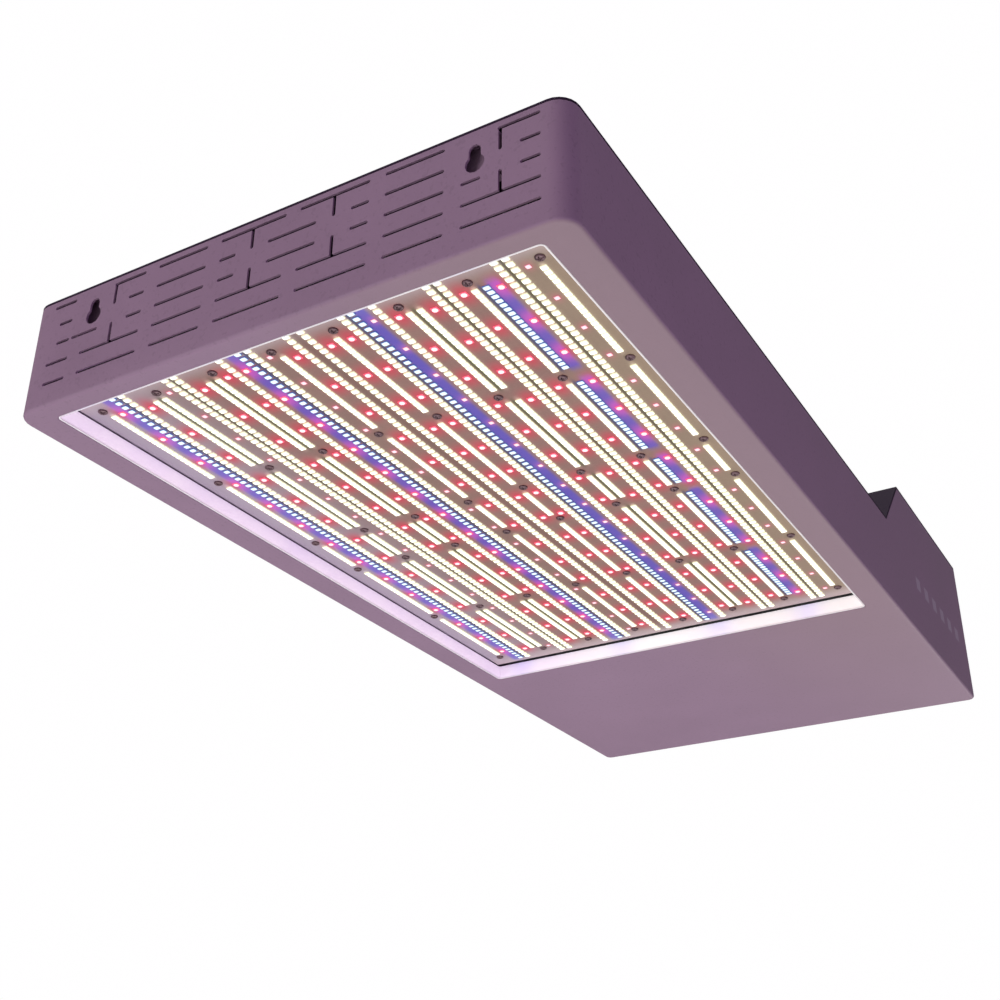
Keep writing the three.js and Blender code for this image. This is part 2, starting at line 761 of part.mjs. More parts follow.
function fanFrame() {
  const shell = box([-FAN_HALF, -FAN_HALF, FAN_BOTTOM], [FAN_HALF, FAN_HALF, FAN_TOP]);
  const frame = shell.subtract(bar(0, 0, 0, 80, FAN_BORE, 24));
  const plateTop = FAN_BOTTOM + 2.4;
  const hub = bar(0, 0, FAN_BOTTOM, plateTop, HUB_RADIUS, 16);
  const boss = bar(0, 0, FAN_BOTTOM, plateTop + 8, 4.5, 12);
  const reach = FAN_HALF - 1;
  const halfSpoke = 1.6;
  const spokes = [
    box([-reach, -halfSpoke, FAN_BOTTOM], [reach, halfSpoke, plateTop]),
    box([-halfSpoke, -reach, FAN_BOTTOM], [halfSpoke, reach, plateTop]),
  ];
  const mountHoles = [-1, 1].flatMap((sideX) =>
    [-1, 1].map((sideY) => bar(sideX * FAN_HOLE, sideY * FAN_HOLE, 0, 80, 2.1, 6))
  );
  return cut(union([frame, hub, boss, ...spokes]), [
    bar(0, 0, FAN_BOTTOM + 1, 80, SHAFT_BORE, 12),
    ...mountHoles,
  ]);
}

// One twisted blade, drawn out along X from the hub.
function fanBlade() {
  const root = HUB_RADIUS - 1.5;
  const length = BLADE_TIP - root;
  const geometry = new THREE.BoxGeometry(length, 15, 1.3, 2, 1, 1);
  geometry.translate(root + length / 2, 0, 0);
  const position = geometry.attributes.position;
  const point = new THREE.Vector3();
  const axis = new THREE.Vector3(1, 0, 0);
  for (let k = 0; k < position.count; k += 1) {
    point.fromBufferAttribute(position, k);
    const outward = (point.x - root) / length;
    point.applyAxisAngle(axis, THREE.MathUtils.degToRad(44 - 16 * outward));
    position.setXYZ(k, point.x, point.y, point.z);
  }
  return geometry;
}

function fanRotor() {
  const bottom = FAN_BOTTOM + 3.4;
  const top = FAN_TOP - 2;
  const outer = HUB_RADIUS - 0.4;
  const cup = turned(
    [
      [0, FAN_BOTTOM + 1.4],
      [SHAFT_RADIUS, FAN_BOTTOM + 1.4],
      [SHAFT_RADIUS, top - 1.6],
      [outer - 1.4, top - 1.6],
      [outer - 1.4, bottom],
      [outer, bottom],
      [outer, top - 1.5],
      [outer - 1.5, top],
      [0, top],
    ],
    24
  );
  const blades = [];
  const count = 7;
  for (let k = 0; k < count; k += 1) {
    const blade = fanBlade();
    blade.rotateZ((k / count) * Math.PI * 2);
    blade.translate(0, 0, (bottom + top) / 2);
    blades.push(toSolid(blade));
  }
  const hollow = bar(0, 0, 0, top - 1.6, outer - 1.4, 24);
  const clippedBlades = union(blades).subtract(hollow);
  return toSolid(cup).add(clippedBlades);
}

FAN_YS.forEach((y, k) => {
  const end = k === 0 ? "front" : "rear";
  place(`fan_frame_${end}`, fanFrame(), blackPlastic).position.set(0, y, 0);
  place(`fan_rotor_${end}`, fanRotor(), blackPlastic).position.set(0, y, 0);
});

// ---------------------------------------------------------------- drivers
const DRIVER_X = 100;
const DRIVER_HALF = 26;
const DRIVER_TOP = 88;
const DRIVER_Y0 = 152;
const DRIVER_Y1 = 300;

// A ribbed power supply case, standing on its narrow side, with a foot at each end.
function driver(side) {
  const ribs = 6;
  const ribDepth = 2.5;
  const pitch = (DRIVER_TOP - FLOOR_Z) / ribs;
  const rightEdge = [];
  const leftEdge = [];
  for (let k = 0; k < ribs; k += 1) {
    const z0 = FLOOR_Z + k * pitch;
    const groove = [z0 + pitch * 0.55, z0 + pitch];
    rightEdge.push([DRIVER_HALF, z0], [DRIVER_HALF, groove[0]]);
    rightEdge.push([DRIVER_HALF - ribDepth, groove[0]], [DRIVER_HALF - ribDepth, groove[1]]);
    leftEdge.push([-DRIVER_HALF, z0], [-DRIVER_HALF, groove[0]]);
    leftEdge.push([ribDepth - DRIVER_HALF, groove[0]], [ribDepth - DRIVER_HALF, groove[1]]);
  }
  const body = prismY([...rightEdge, ...leftEdge.reverse()], DRIVER_Y0, DRIVER_Y1);
  const footLength = 9;
  const foot = box(
    [-DRIVER_HALF, DRIVER_Y0 - footLength, FLOOR_Z],
    [DRIVER_HALF, DRIVER_Y1 + footLength, FLOOR_Z + 2]
  );
  return body.add(foot).translate([side * DRIVER_X, 0, 0]);
}
place("driver_left", driver(-1), driverCase);
place("driver_right", driver(1), driverCase);

// ---------------------------------------------------------------- terminal block
const TERMINAL_Y0 = 165;
const TERMINAL_PITCH = 12;
const TERMINAL_WAYS = 6;
const TERMINAL_TOP = 19;

// A strip of screw terminals: low wells between raised barriers.
function terminalBlock() {
  const end = TERMINAL_Y0 + TERMINAL_PITCH * TERMINAL_WAYS + 2;
  const block = box([-12, TERMINAL_Y0, FLOOR_Z], [12, end, TERMINAL_TOP]);
  const wells = [];
  for (let k = 0; k < TERMINAL_WAYS; k += 1) {
    const y = TERMINAL_Y0 + 2 + TERMINAL_PITCH * k;
    wells.push(box([-20, y, 9], [-3, y + TERMINAL_PITCH - 2, 30]));
    wells.push(box([3, y, 9], [20, y + TERMINAL_PITCH - 2, 30]));
  }
  return cut(block, wells);
}
place("terminal_block", terminalBlock(), greyPlastic);

// ---------------------------------------------------------------- mains inlet
const INLET_FACE = REAR_Y - SHEET - GAP; // its flange lies against the rear wall's inner face
const INLET_DEPTH = 21;
const INLET_FLOOR = INLET_FACE - INLET_DEPTH + 3.5; // where the mouth ends
const PIN_REACH = 15;
const PIN_LOW_Z = INLET_Z - 2;
const PIN_POSITIONS = { live: [-7, PIN_LOW_Z], neutral: [7, PIN_LOW_Z], earth: [0, INLET_Z + 3] };
const PIN_HALF_X = 1;
const PIN_HALF_Z = 2;

function inletSocket() {
  const flange = box([-25, INLET_FACE - 2.5, INLET_Z - 12], [25, INLET_FACE, INLET_Z + 12]);
  const body = box([-15.5, INLET_FACE - INLET_DEPTH, INLET_Z - 11.5], [15.5, INLET_FACE, INLET_Z + 11.5]);
  const corner = 5; // the mouth's two lower corners are cut off
  const [halfX, low, high] = [12.2, INLET_Z - 8.3, INLET_Z + 8.3];
  const mouth = prismY(
    [
      [-halfX, high],
      [-halfX, low + corner],
      [-halfX + corner, low],
      [halfX - corner, low],
      [halfX, low + corner],
      [halfX, high],
    ],
    INLET_FLOOR,
    INLET_FACE + 5
  );
  const pinHoles = Object.values(PIN_POSITIONS).map(([x, z]) =>
    box(
      [x - PIN_HALF_X - 0.2, INLET_FACE - 40, z - PIN_HALF_Z - 0.2],
      [x + PIN_HALF_X + 0.2, INLET_FACE, z + PIN_HALF_Z + 0.2]
    )
  );
  const screwHoles = [-20, 20].map((x) => {
    const hole = bar(x, -INLET_Z, INLET_FACE - 5, INLET_FACE + 5, 1.7, 8);
    return hole.rotate([-90, 0, 0]);
  });
  return cut(flange.add(body), [mouth, ...pinHoles, ...screwHoles]);
}
place("inlet_socket", inletSocket(), blackPlastic);
Object.entries(PIN_POSITIONS).forEach(([name, [x, z]]) => {
  const tail = INLET_FACE - INLET_DEPTH - 6;
  const tip = INLET_FLOOR + PIN_REACH;
  const pin = box([x - PIN_HALF_X, tail, z - PIN_HALF_Z], [x + PIN_HALF_X, tip, z + PIN_HALF_Z]);
  place(`inlet_pin_${name}`, pin, brass);
});

// ---------------------------------------------------------------- power switch
const ROCKER_TILT = THREE.MathUtils.degToRad(10);
const ROCKER_PIVOT_Z = -2;
const ROCKER_HALF_X = 5.7;
const PIVOT_RADIUS = 1.2;
const PIVOT_BORE = 1.27;

// A round bar along X, in the slope's frame.
function crossBar(reach, radius, z) {
  const geometry = new THREE.CylinderGeometry(radius, radius, 2 * reach, 12);
  geometry.rotateZ(Math.PI / 2);
  geometry.translate(SWITCH_X, 0, z);
  return toSolid(geometry);
}

function switchCase() {
  const wall = 1.5;
  const rim = box([SWITCH_X - 10, -17, GAP], [SWITCH_X + 10, 17, GAP + 1.6]);
  const body = box(
    [SWITCH_X - SWITCH_CASE_X, -SWITCH_CASE_Y, -18],
    [SWITCH_X + SWITCH_CASE_X, SWITCH_CASE_Y, GAP + 1.6]
  );
  const well = box(
    [SWITCH_X - SWITCH_CASE_X + wall, -SWITCH_CASE_Y + 0.9, -14],
    [SWITCH_X + SWITCH_CASE_X - wall, SWITCH_CASE_Y - 0.9, 20]
  );
  return cut(rim.add(body), [well, crossBar(30, PIVOT_BORE, ROCKER_PIVOT_Z)]);
}
place("switch_case", switchCase(), blackPlastic, slopePanel);

// The rocker's paddle: a shallow V whose two halves lean 10 degrees from its middle.
function switchRocker() {
  const half = 13;
  const edge = 2.6;
  const profile = [
    [-half, edge],
    [-half, edge - 4],
    [-4, -6],
    [4, -6],
    [half, edge - 4],
    [half, edge],
    [0, edge - half * Math.tan(ROCKER_TILT)],
  ];
  const paddle = prismX(profile, SWITCH_X - ROCKER_HALF_X, SWITCH_X + ROCKER_HALF_X);
  return paddle.add(crossBar(6.9, PIVOT_RADIUS, ROCKER_PIVOT_Z));
}
const rockerGeometry = toGeometry(switchRocker());
rockerGeometry.translate(-SWITCH_X, 0, -ROCKER_PIVOT_Z);
const rocker = place("switch_rocker", rockerGeometry, redPlastic, slopePanel);
rocker.position.set(SWITCH_X, 0, ROCKER_PIVOT_Z);
rocker.rotation.x = ROCKER_TILT;

// ---------------------------------------------------------------- dimmer
const NUT_TOP = GAP + 2.6;
const BUSH_TOP = 5.5;
const SHAFT_TOP = 13;
const DIMMER_SHAFT = 3;
const DIMMER_BORE = 3.08;

function dimmerBody() {
  const below = -SHEET - GAP;
  return turned(
    [
      [DIMMER_BORE, below - 7],
      [8, below - 7],
      [8, below],
      [BUSH_RADIUS, below],
      [BUSH_RADIUS, BUSH_TOP],
      [DIMMER_BORE, BUSH_TOP],
    ],
    16
  );
}

// A hexagonal nut on the bush.
function dimmerNut() {
  const hexagon = bar(0, 0, GAP, NUT_TOP, 6.6, 6);
  return hexagon.subtract(bar(0, 0, -5, 20, BUSH_RADIUS + GAP, 16));
}

// The spindle, with a collar behind the body that keeps it in.
function dimmerShaft() {
  const back = -SHEET - GAP - 7.3;
  return turned(
    [
      [0, back - 1.4],
      [5, back - 1.4],
      [5, back],
      [DIMMER_SHAFT, back],
      [DIMMER_SHAFT, SHAFT_TOP],
      [0, SHAFT_TOP],
    ],
    16
  );
}

// A fluted knob with a hollow underside and a pointer groove.
function dimmerKnob() {
  const bottom = NUT_TOP + 0.6;
  const top = 16;
  const shell = turned(
    [
      [0, bottom],
      [11, bottom],
      [11, bottom + 1.5],
      [9.6, bottom + 2],
      [9, top - 0.8],
      [8.2, top],
      [0, top],
    ],
    20
  );
  const hollow = bar(0, 0, 0, BUSH_TOP + 0.6, 7.4, 16);
  const shaftHole = bar(0, 0, 0, SHAFT_TOP + 0.3, DIMMER_SHAFT + 0.15, 16);
  const pointer = box([-0.6, 2, top - 0.8], [0.6, 12, top + 1]);
  return cut(toSolid(shell), [hollow, shaftHole, pointer]);
}
place("dimmer_body", dimmerBody(), zincPlate, slopePanel).position.x = DIMMER_X;
place("dimmer_nut", dimmerNut(), zincPlate, slopePanel).position.x = DIMMER_X;
place("dimmer_shaft", dimmerShaft(), zincPlate, slopePanel).position.x = DIMMER_X;
place("dimmer_knob", dimmerKnob(), blackPlastic, slopePanel).position.x = DIMMER_X;

// ---------------------------------------------------------------- internal leads
const LEAD_RADIUS = 2.6;
const wellX = 7.5; // middle of a terminal well
place(
  "mains_lead",
  cable([[0, 287, 32], [0, 276, 34], [0, 262, 28], [0, 250, 20], [0, 242, 16]], 3),
  rubber
);
[-1, 1].forEach((side) => {
  const sideName = side < 0 ? "left" : "right";
  const driverFace = side * (DRIVER_X - DRIVER_HALF - 1);
  const leadY = 208; // level with a terminal well
  place(
    `driver_lead_${sideName}`,
    cable(
      [
        [side * wellX, leadY, 13],
        [side * 20, leadY, 24],
        [side * 48, leadY, 46],
        [driverFace, leadY, 50],
      ],
      LEAD_RADIUS
    ),
    rubber
  );
  place(
    `board_lead_${sideName}`,
    cable(
      [
        [side * (DRIVER_X - 6), DRIVER_Y0 - 3, 56],
        [side * (DRIVER_X - 12), DRIVER_Y0 - 12, 52],
        [side * (GROMMET_X + 4), PARTITION_Y + 8, GROMMET_Z + 2],
        [side * GROMMET_X, PARTITION_Y, GROMMET_Z],
        [side * GROMMET_X, PARTITION_Y - 10, GROMMET_Z - 2],
        [side * GROMMET_X, LIGHT_Y + 205, 26],
      ],
      LEAD_RADIUS,
      20
    ),
    rubber
  );
});
place(
  "switch_lead",
  cable([[SWITCH_X, 156, 64], [50, 160, 50], [26, 183, 27], [wellX, 184, 15]], 2),
  rubber
);
place(
  "dimmer_lead",
  cable([[DIMMER_X, 151, 71], [-50, 158, 54], [-26, 183, 27], [-wellX, 184, 15]], 2),
  rubber
);

export default light;
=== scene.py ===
# %% [markdown]
# # An LED grow light
#
# This light hangs over plants with its LEDs facing the floor. A folded steel tray holds a board of
# LED packages, a white frame lines the recess round the board, and a raised bay at the rear holds the
# drivers. The CAD model is loaded first as a fixed frame. Everything made here is fitted to it: sheet
# metal keeps its shape and gets soft edges and a finish, and small repeated things, such as LEDs and
# screw heads, are worked out again in more detail.

import json
import math

import bmesh
import bpy
import numpy as np
from mathutils import Matrix, Quaternion, Vector


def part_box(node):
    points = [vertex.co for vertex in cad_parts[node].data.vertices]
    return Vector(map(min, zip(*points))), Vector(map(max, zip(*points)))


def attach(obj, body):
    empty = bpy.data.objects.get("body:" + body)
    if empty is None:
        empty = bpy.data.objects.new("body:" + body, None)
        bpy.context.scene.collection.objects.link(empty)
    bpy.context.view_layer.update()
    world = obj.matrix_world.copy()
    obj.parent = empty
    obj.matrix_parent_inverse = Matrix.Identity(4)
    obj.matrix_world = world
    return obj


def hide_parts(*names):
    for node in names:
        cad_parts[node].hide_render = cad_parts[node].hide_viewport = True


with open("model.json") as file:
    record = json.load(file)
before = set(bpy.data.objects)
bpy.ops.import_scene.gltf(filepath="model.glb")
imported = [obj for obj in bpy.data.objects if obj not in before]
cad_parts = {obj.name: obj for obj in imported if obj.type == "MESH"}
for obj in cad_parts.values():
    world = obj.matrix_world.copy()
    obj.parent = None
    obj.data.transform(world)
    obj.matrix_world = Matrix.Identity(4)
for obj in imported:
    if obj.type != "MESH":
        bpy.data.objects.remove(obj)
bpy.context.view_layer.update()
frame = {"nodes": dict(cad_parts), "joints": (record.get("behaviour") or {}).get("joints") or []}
MM = 0.001
nodes = frame["nodes"]
joints = {joint["name"]: joint for joint in frame["joints"]}
print("CAD nodes:", len(nodes), "joints:", sorted(joints))

# %% [markdown]
# ## The camera
#
# The light is looked at from below its vented end, so that the LEDs, that end and one long side all
# show. A camera can be placed by hand, but named angles say more to a reader: it faces a heading to
# the left of +Y, tips upwards, and has a trace of roll. `to_track_quat` turns a direction into the
# camera's rotation.

# %% Place the camera
EYE = Vector((0.3344, -0.683, -0.3341))
HEADING = math.radians(30.52)
PITCH = math.radians(27.47)
ROLL = math.radians(0.289)
LENS = 49.23

look = Vector((
    -math.sin(HEADING) * math.cos(PITCH),
    math.cos(HEADING) * math.cos(PITCH),
    math.sin(PITCH),
))
camera_data = bpy.data.cameras.new("camera")
camera_data.lens = LENS
camera_data.sensor_width = 36
camera = bpy.data.objects.new("camera", camera_data)
bpy.context.scene.collection.objects.link(camera)
camera.location = EYE
camera.rotation_mode = "QUATERNION"
camera.rotation_quaternion = look.to_track_quat("-Z", "Y") @ Quaternion((0, 0, 1), ROLL)
bpy.context.scene.camera = camera
print("camera looks along", [round(value, 3) for value in look])

# %% [markdown]
# ## Shader maths as Python expressions
#
# A node tree is a sum written as boxes and wires. Long sums are easier to read as expressions, so
# `Wire` wraps one output socket and overloads the arithmetic signs: `0.4 + 0.1 * grain` adds two
# Math nodes and returns the wire that comes out. `Finish` is one material. Its `node` method adds any
# other node from its type, its settings and what goes into its sockets.

# %% The wire and the finish
class Wire:
    """One output socket; each arithmetic sign adds the Math node that works it out."""

    def __init__(self, finish, socket):
        self.finish = finish
        self.socket = socket

    def __add__(self, other):
        return self.finish.math("ADD", self, other)

    def __sub__(self, other):
        return self.finish.math("SUBTRACT", self, other)

    def __rsub__(self, other):
        return self.finish.math("SUBTRACT", other, self)

    def __mul__(self, other):
        return self.finish.math("MULTIPLY", self, other)

    def __truediv__(self, other):
        return self.finish.math("DIVIDE", self, other)

    def __pow__(self, other):
        return self.finish.math("POWER", self, other)

    def __abs__(self):
        return self.finish.math("ABSOLUTE", self)

    __radd__ = __add__
    __rmul__ = __mul__


class Finish:
    """A procedural material: a Principled shader and the nodes that feed it."""

    def __init__(self, name, **settings):
        self.material = bpy.data.materials.new(name)
        self.material.use_nodes = True
        self.tree = self.material.node_tree
        self.shader = self.tree.nodes["Principled BSDF"]
        place = self.node("ShaderNodeTexCoord", output="Object")
        self.place = place
        self.axes = None
        for socket, value in settings.items():
            self.feed(socket.replace("_", " "), value)

    def feed(self, socket, value):
        """Gives the shader's socket a plain value or a wire."""
        self._plug(self.shader.inputs[socket], value)

    def _plug(self, target, value):
        if isinstance(value, Wire):
            self.tree.links.new(value.socket, target)
        elif isinstance(value, tuple) and len(value) == 3 and target.type == "RGBA":
            target.default_value = (*value, 1)
        else:
            target.default_value = value

    def node(self, kind, settings=None, inputs=None, output=0):
        """Adds a node: its settings first, then its inputs by name or number."""
        made = self.tree.nodes.new(kind)
        for key, value in (settings or {}).items():
            setattr(made, key, value)
        for key, value in (inputs or {}).items():
            self._plug(made.inputs[key], value)
        return Wire(self, made.outputs[output])

    def math(self, operation, *values):
        settings = {"operation": operation}
        return self.node("ShaderNodeMath", settings, dict(enumerate(values)))

    def xyz(self):
        """The three Object coordinates, in metres, as wires."""
        if self.axes is None:
            split = self.node("ShaderNodeSeparateXYZ", inputs={0: self.place})
            outputs = split.socket.node.outputs
            self.axes = [Wire(self, outputs[k]) for k in range(3)]
        return self.axes

    def noise(self, size, detail=2.0, stretch=(1, 1, 1)):
        """Cloudy noise from 0 to 1 whose blobs are about size metres across."""
        vector = self.place
        if stretch != (1, 1, 1):
            inputs = {"Vector": self.place, "Scale": stretch}
            vector = self.node("ShaderNodeMapping", inputs=inputs)
        inputs = {"Vector": vector, "Scale": 1 / size, "Detail": detail}
        return self.node("ShaderNodeTexNoise", inputs=inputs)

    def step(self, value, start, end):
        """0 below start and 1 above end, with a smooth rise between them."""
        inputs = {"Value": value, "From Min": start, "From Max": end}
        return self.node("ShaderNodeMapRange", {"interpolation_type": "SMOOTHSTEP"}, inputs)

    def mix(self, factor, first, second):
        """A colour that goes from first to second as factor goes from 0 to 1."""
        inputs = {0: factor, 6: first, 7: second}
        return self.node("ShaderNodeMix", {"data_type": "RGBA"}, inputs, output=2)

    def bump(self, height, depth):
        """Feeds the Normal socket from a height from 0 to 1 that stands for depth metres."""
        inputs = {"Strength": 1.0, "Distance": depth, "Height": height}
        self.feed("Normal", self.node("ShaderNodeBump", inputs=inputs))


def shade(colour, factor):
    """The same colour, darker or lighter."""
    return tuple(channel * factor for channel in colour)

# %% [markdown]
# ## Powder coat
#
# The housing is sprayed with powder that melts into a skin about a tenth of a millimetre thick. It
# has a fine orange-peel grain, slightly uneven gloss, and dull patches where it has been handled. An
# image could show that, but noise in Object coordinates has the same scale on every face and needs
# no unwrapping. Three sizes of noise are enough: grain for the bump, clouds for the gloss and tone,
# and a few specks.

# %% Powder coat for the housing and the covers
GRAIN = 0.7 * MM
CLOUD = 60 * MM
SPECK = 2.2 * MM


def powder_coat(name, colour, roughness, gloss):
    """A fine-textured powder coat; returns the finish so that marks can be added."""
    coat = Finish(name, Specular_IOR_Level=gloss)
    cloud = coat.noise(CLOUD, detail=3)
    speck = coat.step(coat.noise(SPECK, detail=1), 0.60, 0.72)
    grain = coat.noise(GRAIN, detail=2)
    tone = coat.mix(cloud, shade(colour, 0.90), shade(colour, 1.10))
    tone = coat.mix(0.22 * speck, tone, shade(colour, 0.55))
    tone = coat.mix(0.10 * grain, tone, shade(colour, 1.5))
    coat.feed("Base Color", tone)
    coat.feed("Roughness", roughness + 0.14 * cloud - 0.06 * grain)
    coat.bump(grain, 0.05 * MM)
    coat.tone = tone
    return coat


HOUSING_COLOUR = (0.262, 0.160, 0.240)
HOUSING_GLOSS = 0.22
COVER_COLOUR = (0.030, 0.015, 0.035)
COVER_GLOSS = 0.07
housing_coat = powder_coat("housing_powder_coat", HOUSING_COLOUR, 0.50, HOUSING_GLOSS)
cover_coat = powder_coat("cover_powder_coat", COVER_COLOUR, 0.56, COVER_GLOSS)
print("powder coats made")

# %% [markdown]
# ### Printed bars and a margin with painted warm light
#
# Near the rear of one long side the maker prints a short row of pale marks. Here they are six plain
# bars, as ink lies flat on the coat: a mask from the Object coordinates mixes a paler tone into the
# coat's colour. A mask needs no extra mesh, and can't come loose from the surface. A second mask paints
# light into the bottom sheet beside the opening's right-hand end: a greyer tone for the LEDs' warm light.

# %% Print the bars
tray_low, tray_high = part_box("housing_tray")
BAR_PITCH = 20.5 * MM
BAR_COUNT = 6
BAR_LENGTH = 10 * MM
BAR_HEIGHT = 9 * MM
BARS_Y = tray_high.y - 145 * MM
BARS_Z = 40 * MM


def print_bars(coat):
    """Pale bars on the right-hand wall: a row in Y, each a rectangle in Y and Z."""
    x, y, z = coat.xyz()
    row = (y - BARS_Y) / BAR_PITCH
    whole = coat.math("FLOOR", row)
    inside_row = coat.step(whole, -0.5, -0.4) * (1 - coat.step(whole, BAR_COUNT - 0.6, BAR_COUNT - 0.5))
    along = abs(row - whole - 0.5) * BAR_PITCH
    across = abs(z - BARS_Z)
    soft = 0.8 * MM
    in_bar = (1 - coat.step(along, BAR_LENGTH / 2 - soft, BAR_LENGTH / 2 + soft))
    in_height = (1 - coat.step(across, BAR_HEIGHT / 2 - soft, BAR_HEIGHT / 2 + soft))
    on_wall = coat.step(x, tray_high.x - 0.5 * MM, tray_high.x - 0.2 * MM)
    worn = 0.55 + 0.45 * coat.noise(1.5 * MM)
    mask = 0.55 * inside_row * in_bar * in_height * on_wall * worn
    return coat.mix(mask, coat.tone, (0.50, 0.42, 0.52))


def painted_warm_light_margin(coat, tone):
    """Painted light on the sheet beside the opening, on the right: a greyer tone for the LEDs' warm light on
    the coat.
    """
    x, y, z = coat.xyz()
    beside = coat.step(x, -40 * MM, tray_high.x - 20 * MM) * (1 - 0.6 * coat.step(y, 0, tray_high.y))
    on_bottom = 1 - coat.step(z, 0.2 * MM, 1.2 * MM)
    # painted light: the LEDs' warm light on the bottom sheet, as a greyer tone beside the opening
    return coat.mix(0.75 * beside * on_bottom, tone, (0.275, 0.182, 0.212))


housing_coat.feed("Base Color", painted_warm_light_margin(housing_coat, print_bars(housing_coat)))

# %% [markdown]
# ## Metals
#
# Five metals are used: an extruded aluminium heat sink with drawing lines along its length, dark
# anodised driver cases, zinc plate with soft crystal patches, dark screws and brass pins.
# What tells them apart is how the roughness varies: stretched noise for drawn metal, cells for zinc.

# %% Metal finishes
def drawn_metal(name, colour, roughness, stretch):
    """Metal with fine lines along one axis, made by squeezing the noise across that axis."""
    metal = Finish(name, Metallic=1.0)
    lines = metal.noise(1.0 * MM, detail=3, stretch=stretch)
    cloud = metal.noise(24 * MM, detail=2)
    metal.feed("Base Color", metal.mix(cloud, shade(colour, 0.86), colour))
    metal.feed("Roughness", roughness + 0.20 * lines)
    metal.bump(lines, 0.03 * MM)
    return metal


def zinc_plate(name, colour):
    """Plated sheet: patches of crystal with slightly different tone and gloss."""
    plate = Finish(name, Metallic=1.0)
    inputs = {"Vector": plate.place, "Scale": 1 / (7 * MM), "Randomness": 1.0}
    cells = plate.node("ShaderNodeTexVoronoi", inputs=inputs, output="Color")
    patch = plate.node("ShaderNodeSeparateColor", inputs={0: cells})
    grain = plate.noise(0.8 * MM)
    plate.feed("Base Color", plate.mix(patch, shade(colour, 0.82), colour))
    plate.feed("Roughness", 0.34 + 0.14 * patch + 0.08 * grain)
    plate.bump(grain, 0.02 * MM)
    return plate


aluminium = drawn_metal("extruded_aluminium", (0.62, 0.63, 0.66), 0.28, (2.2, 0.04, 2.2))
driver_skin = drawn_metal("anodised_driver_case", (0.055, 0.060, 0.070), 0.36, (2.2, 0.05, 2.2))
screw_steel = drawn_metal("dark_plated_steel", (0.17, 0.105, 0.12), 0.34, (1, 1, 1))
brass = drawn_metal("brass_pins", (0.78, 0.52, 0.20), 0.22, (2, 0.08, 2))
zinc = zinc_plate("zinc_plated_steel", (0.62, 0.63, 0.62))
print("metals made")

# %% [markdown]
# ## Plastics and rubber
#
# Moulded plastic copies the spark-eroded texture of its mould: a fine even grain, with slightly
# glossier high spots. Rubber is duller and dusty. One function makes them all from a grain size, so
# that each differs only where the real ones do.

# %% Plastic and rubber finishes
def moulded(name, colour, roughness, grain_size, depth, dust=0.0):
    """Moulded plastic or rubber with mould grain and a share of pale dust."""
    plastic = Finish(name)
    grain = plastic.noise(grain_size, detail=1)
    cloud = plastic.noise(20 * MM, detail=3)
    tone = plastic.mix(cloud, shade(colour, 0.85), shade(colour, 1.15))
    plastic.feed("Base Color", plastic.mix(dust * cloud, tone, (0.32, 0.29, 0.30)))
    plastic.feed("Roughness", roughness + 0.16 * grain)
    plastic.bump(grain, depth)
    plastic.tone = tone
    return plastic


black_plastic = moulded("moulded_black_plastic", (0.016, 0.015, 0.018), 0.38, 0.6 * MM, 0.03 * MM, 0.05)
grey_plastic = moulded("moulded_grey_plastic", (0.60, 0.61, 0.58), 0.36, 0.6 * MM, 0.02 * MM)
rubber = moulded("cable_rubber", (0.018, 0.018, 0.019), 0.56, 0.9 * MM, 0.03 * MM, 0.08)
print("plastics made")

# %% [markdown]
# ## Building surfaces from rings
#
# Almost every small piece here is a tube in the widest sense: a row of rings, each ring a closed loop
# of points, with a fan that closes each end. A lathe is such a tube whose rings are circles; an LED
# package is one whose rings are squares; a fan blade is one whose rings are thin wing sections. So
# one function makes them all, from whole numpy arrays, and another writes them into a mesh.

# %% Rings into meshes
def closed_tube(rings):
    """Quads between neighbouring rings, and a fan at each end.

    rings has the shape (rows, columns, 3). Point (row, column) is numbered row * columns + column,
    and the two fans meet at the middle of the first and the last ring.
    """
    rows, columns = rings.shape[:2]
    row = np.arange(rows - 1)[:, None] * columns
    here = np.arange(columns)[None, :]
    following = (here + 1) % columns
    corners = (row + here, row + following, row + columns + following, row + columns + here)
    quads = np.stack(corners, -1).reshape(-1, 4)
    start = np.full(columns, rows * columns)
    first_fan = np.stack((start, following[0], here[0]), -1)
    last = (rows - 1) * columns
    last_fan = np.stack((start + 1, last + here[0], last + following[0]), -1)
    middles = np.stack((rings[0].mean(0), rings[-1].mean(0)))
    points = np.concatenate((rings.reshape(-1, 3), middles))
    return points, quads, np.concatenate((first_fan, last_fan))


def repeat(shape, places):
    """Copies of one shape, one at each place; the copies' points are numbered on from each other."""
    points, quads, triangles = shape
    offsets = np.arange(len(places))[:, None, None] * len(points)
    many = (points[None] + places[:, None]).reshape(-1, 3)
    return many, (quads[None] + offsets).reshape(-1, 4), (triangles[None] + offsets).reshape(-1, 3)


def join(shapes):
    """Several shapes as one."""
    points, quads, triangles, count = [], [], [], 0
    for shape in shapes:
        points.append(shape[0])
        quads.append(shape[1] + count)
        triangles.append(shape[2] + count)
        count += len(shape[0])
    return np.concatenate(points), np.concatenate(quads), np.concatenate(triangles)


def volume(points, quads, triangles):
    """Six times the signed volume: above zero if the faces point outwards."""
    halves = np.concatenate((quads[:, [0, 1, 2]], quads[:, [0, 2, 3]], triangles))
    a, b, c = (points[halves[:, k]] for k in range(3))
    return np.einsum("ij,ij->", a, np.cross(b, c))


def finish_piece(name, mesh, finish, body, replaced, crease):
    """Gives a mesh its finish and its place in the model."""
    mesh.materials.clear()
    mesh.materials.append(finish.material)
    mesh.shade_smooth()
    mesh.set_sharp_from_angle(angle=math.radians(crease))
    piece = bpy.data.objects.new(name, mesh)
    bpy.context.scene.collection.objects.link(piece)
    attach(piece, body)
    if replaced:
        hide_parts(*replaced)
    return piece


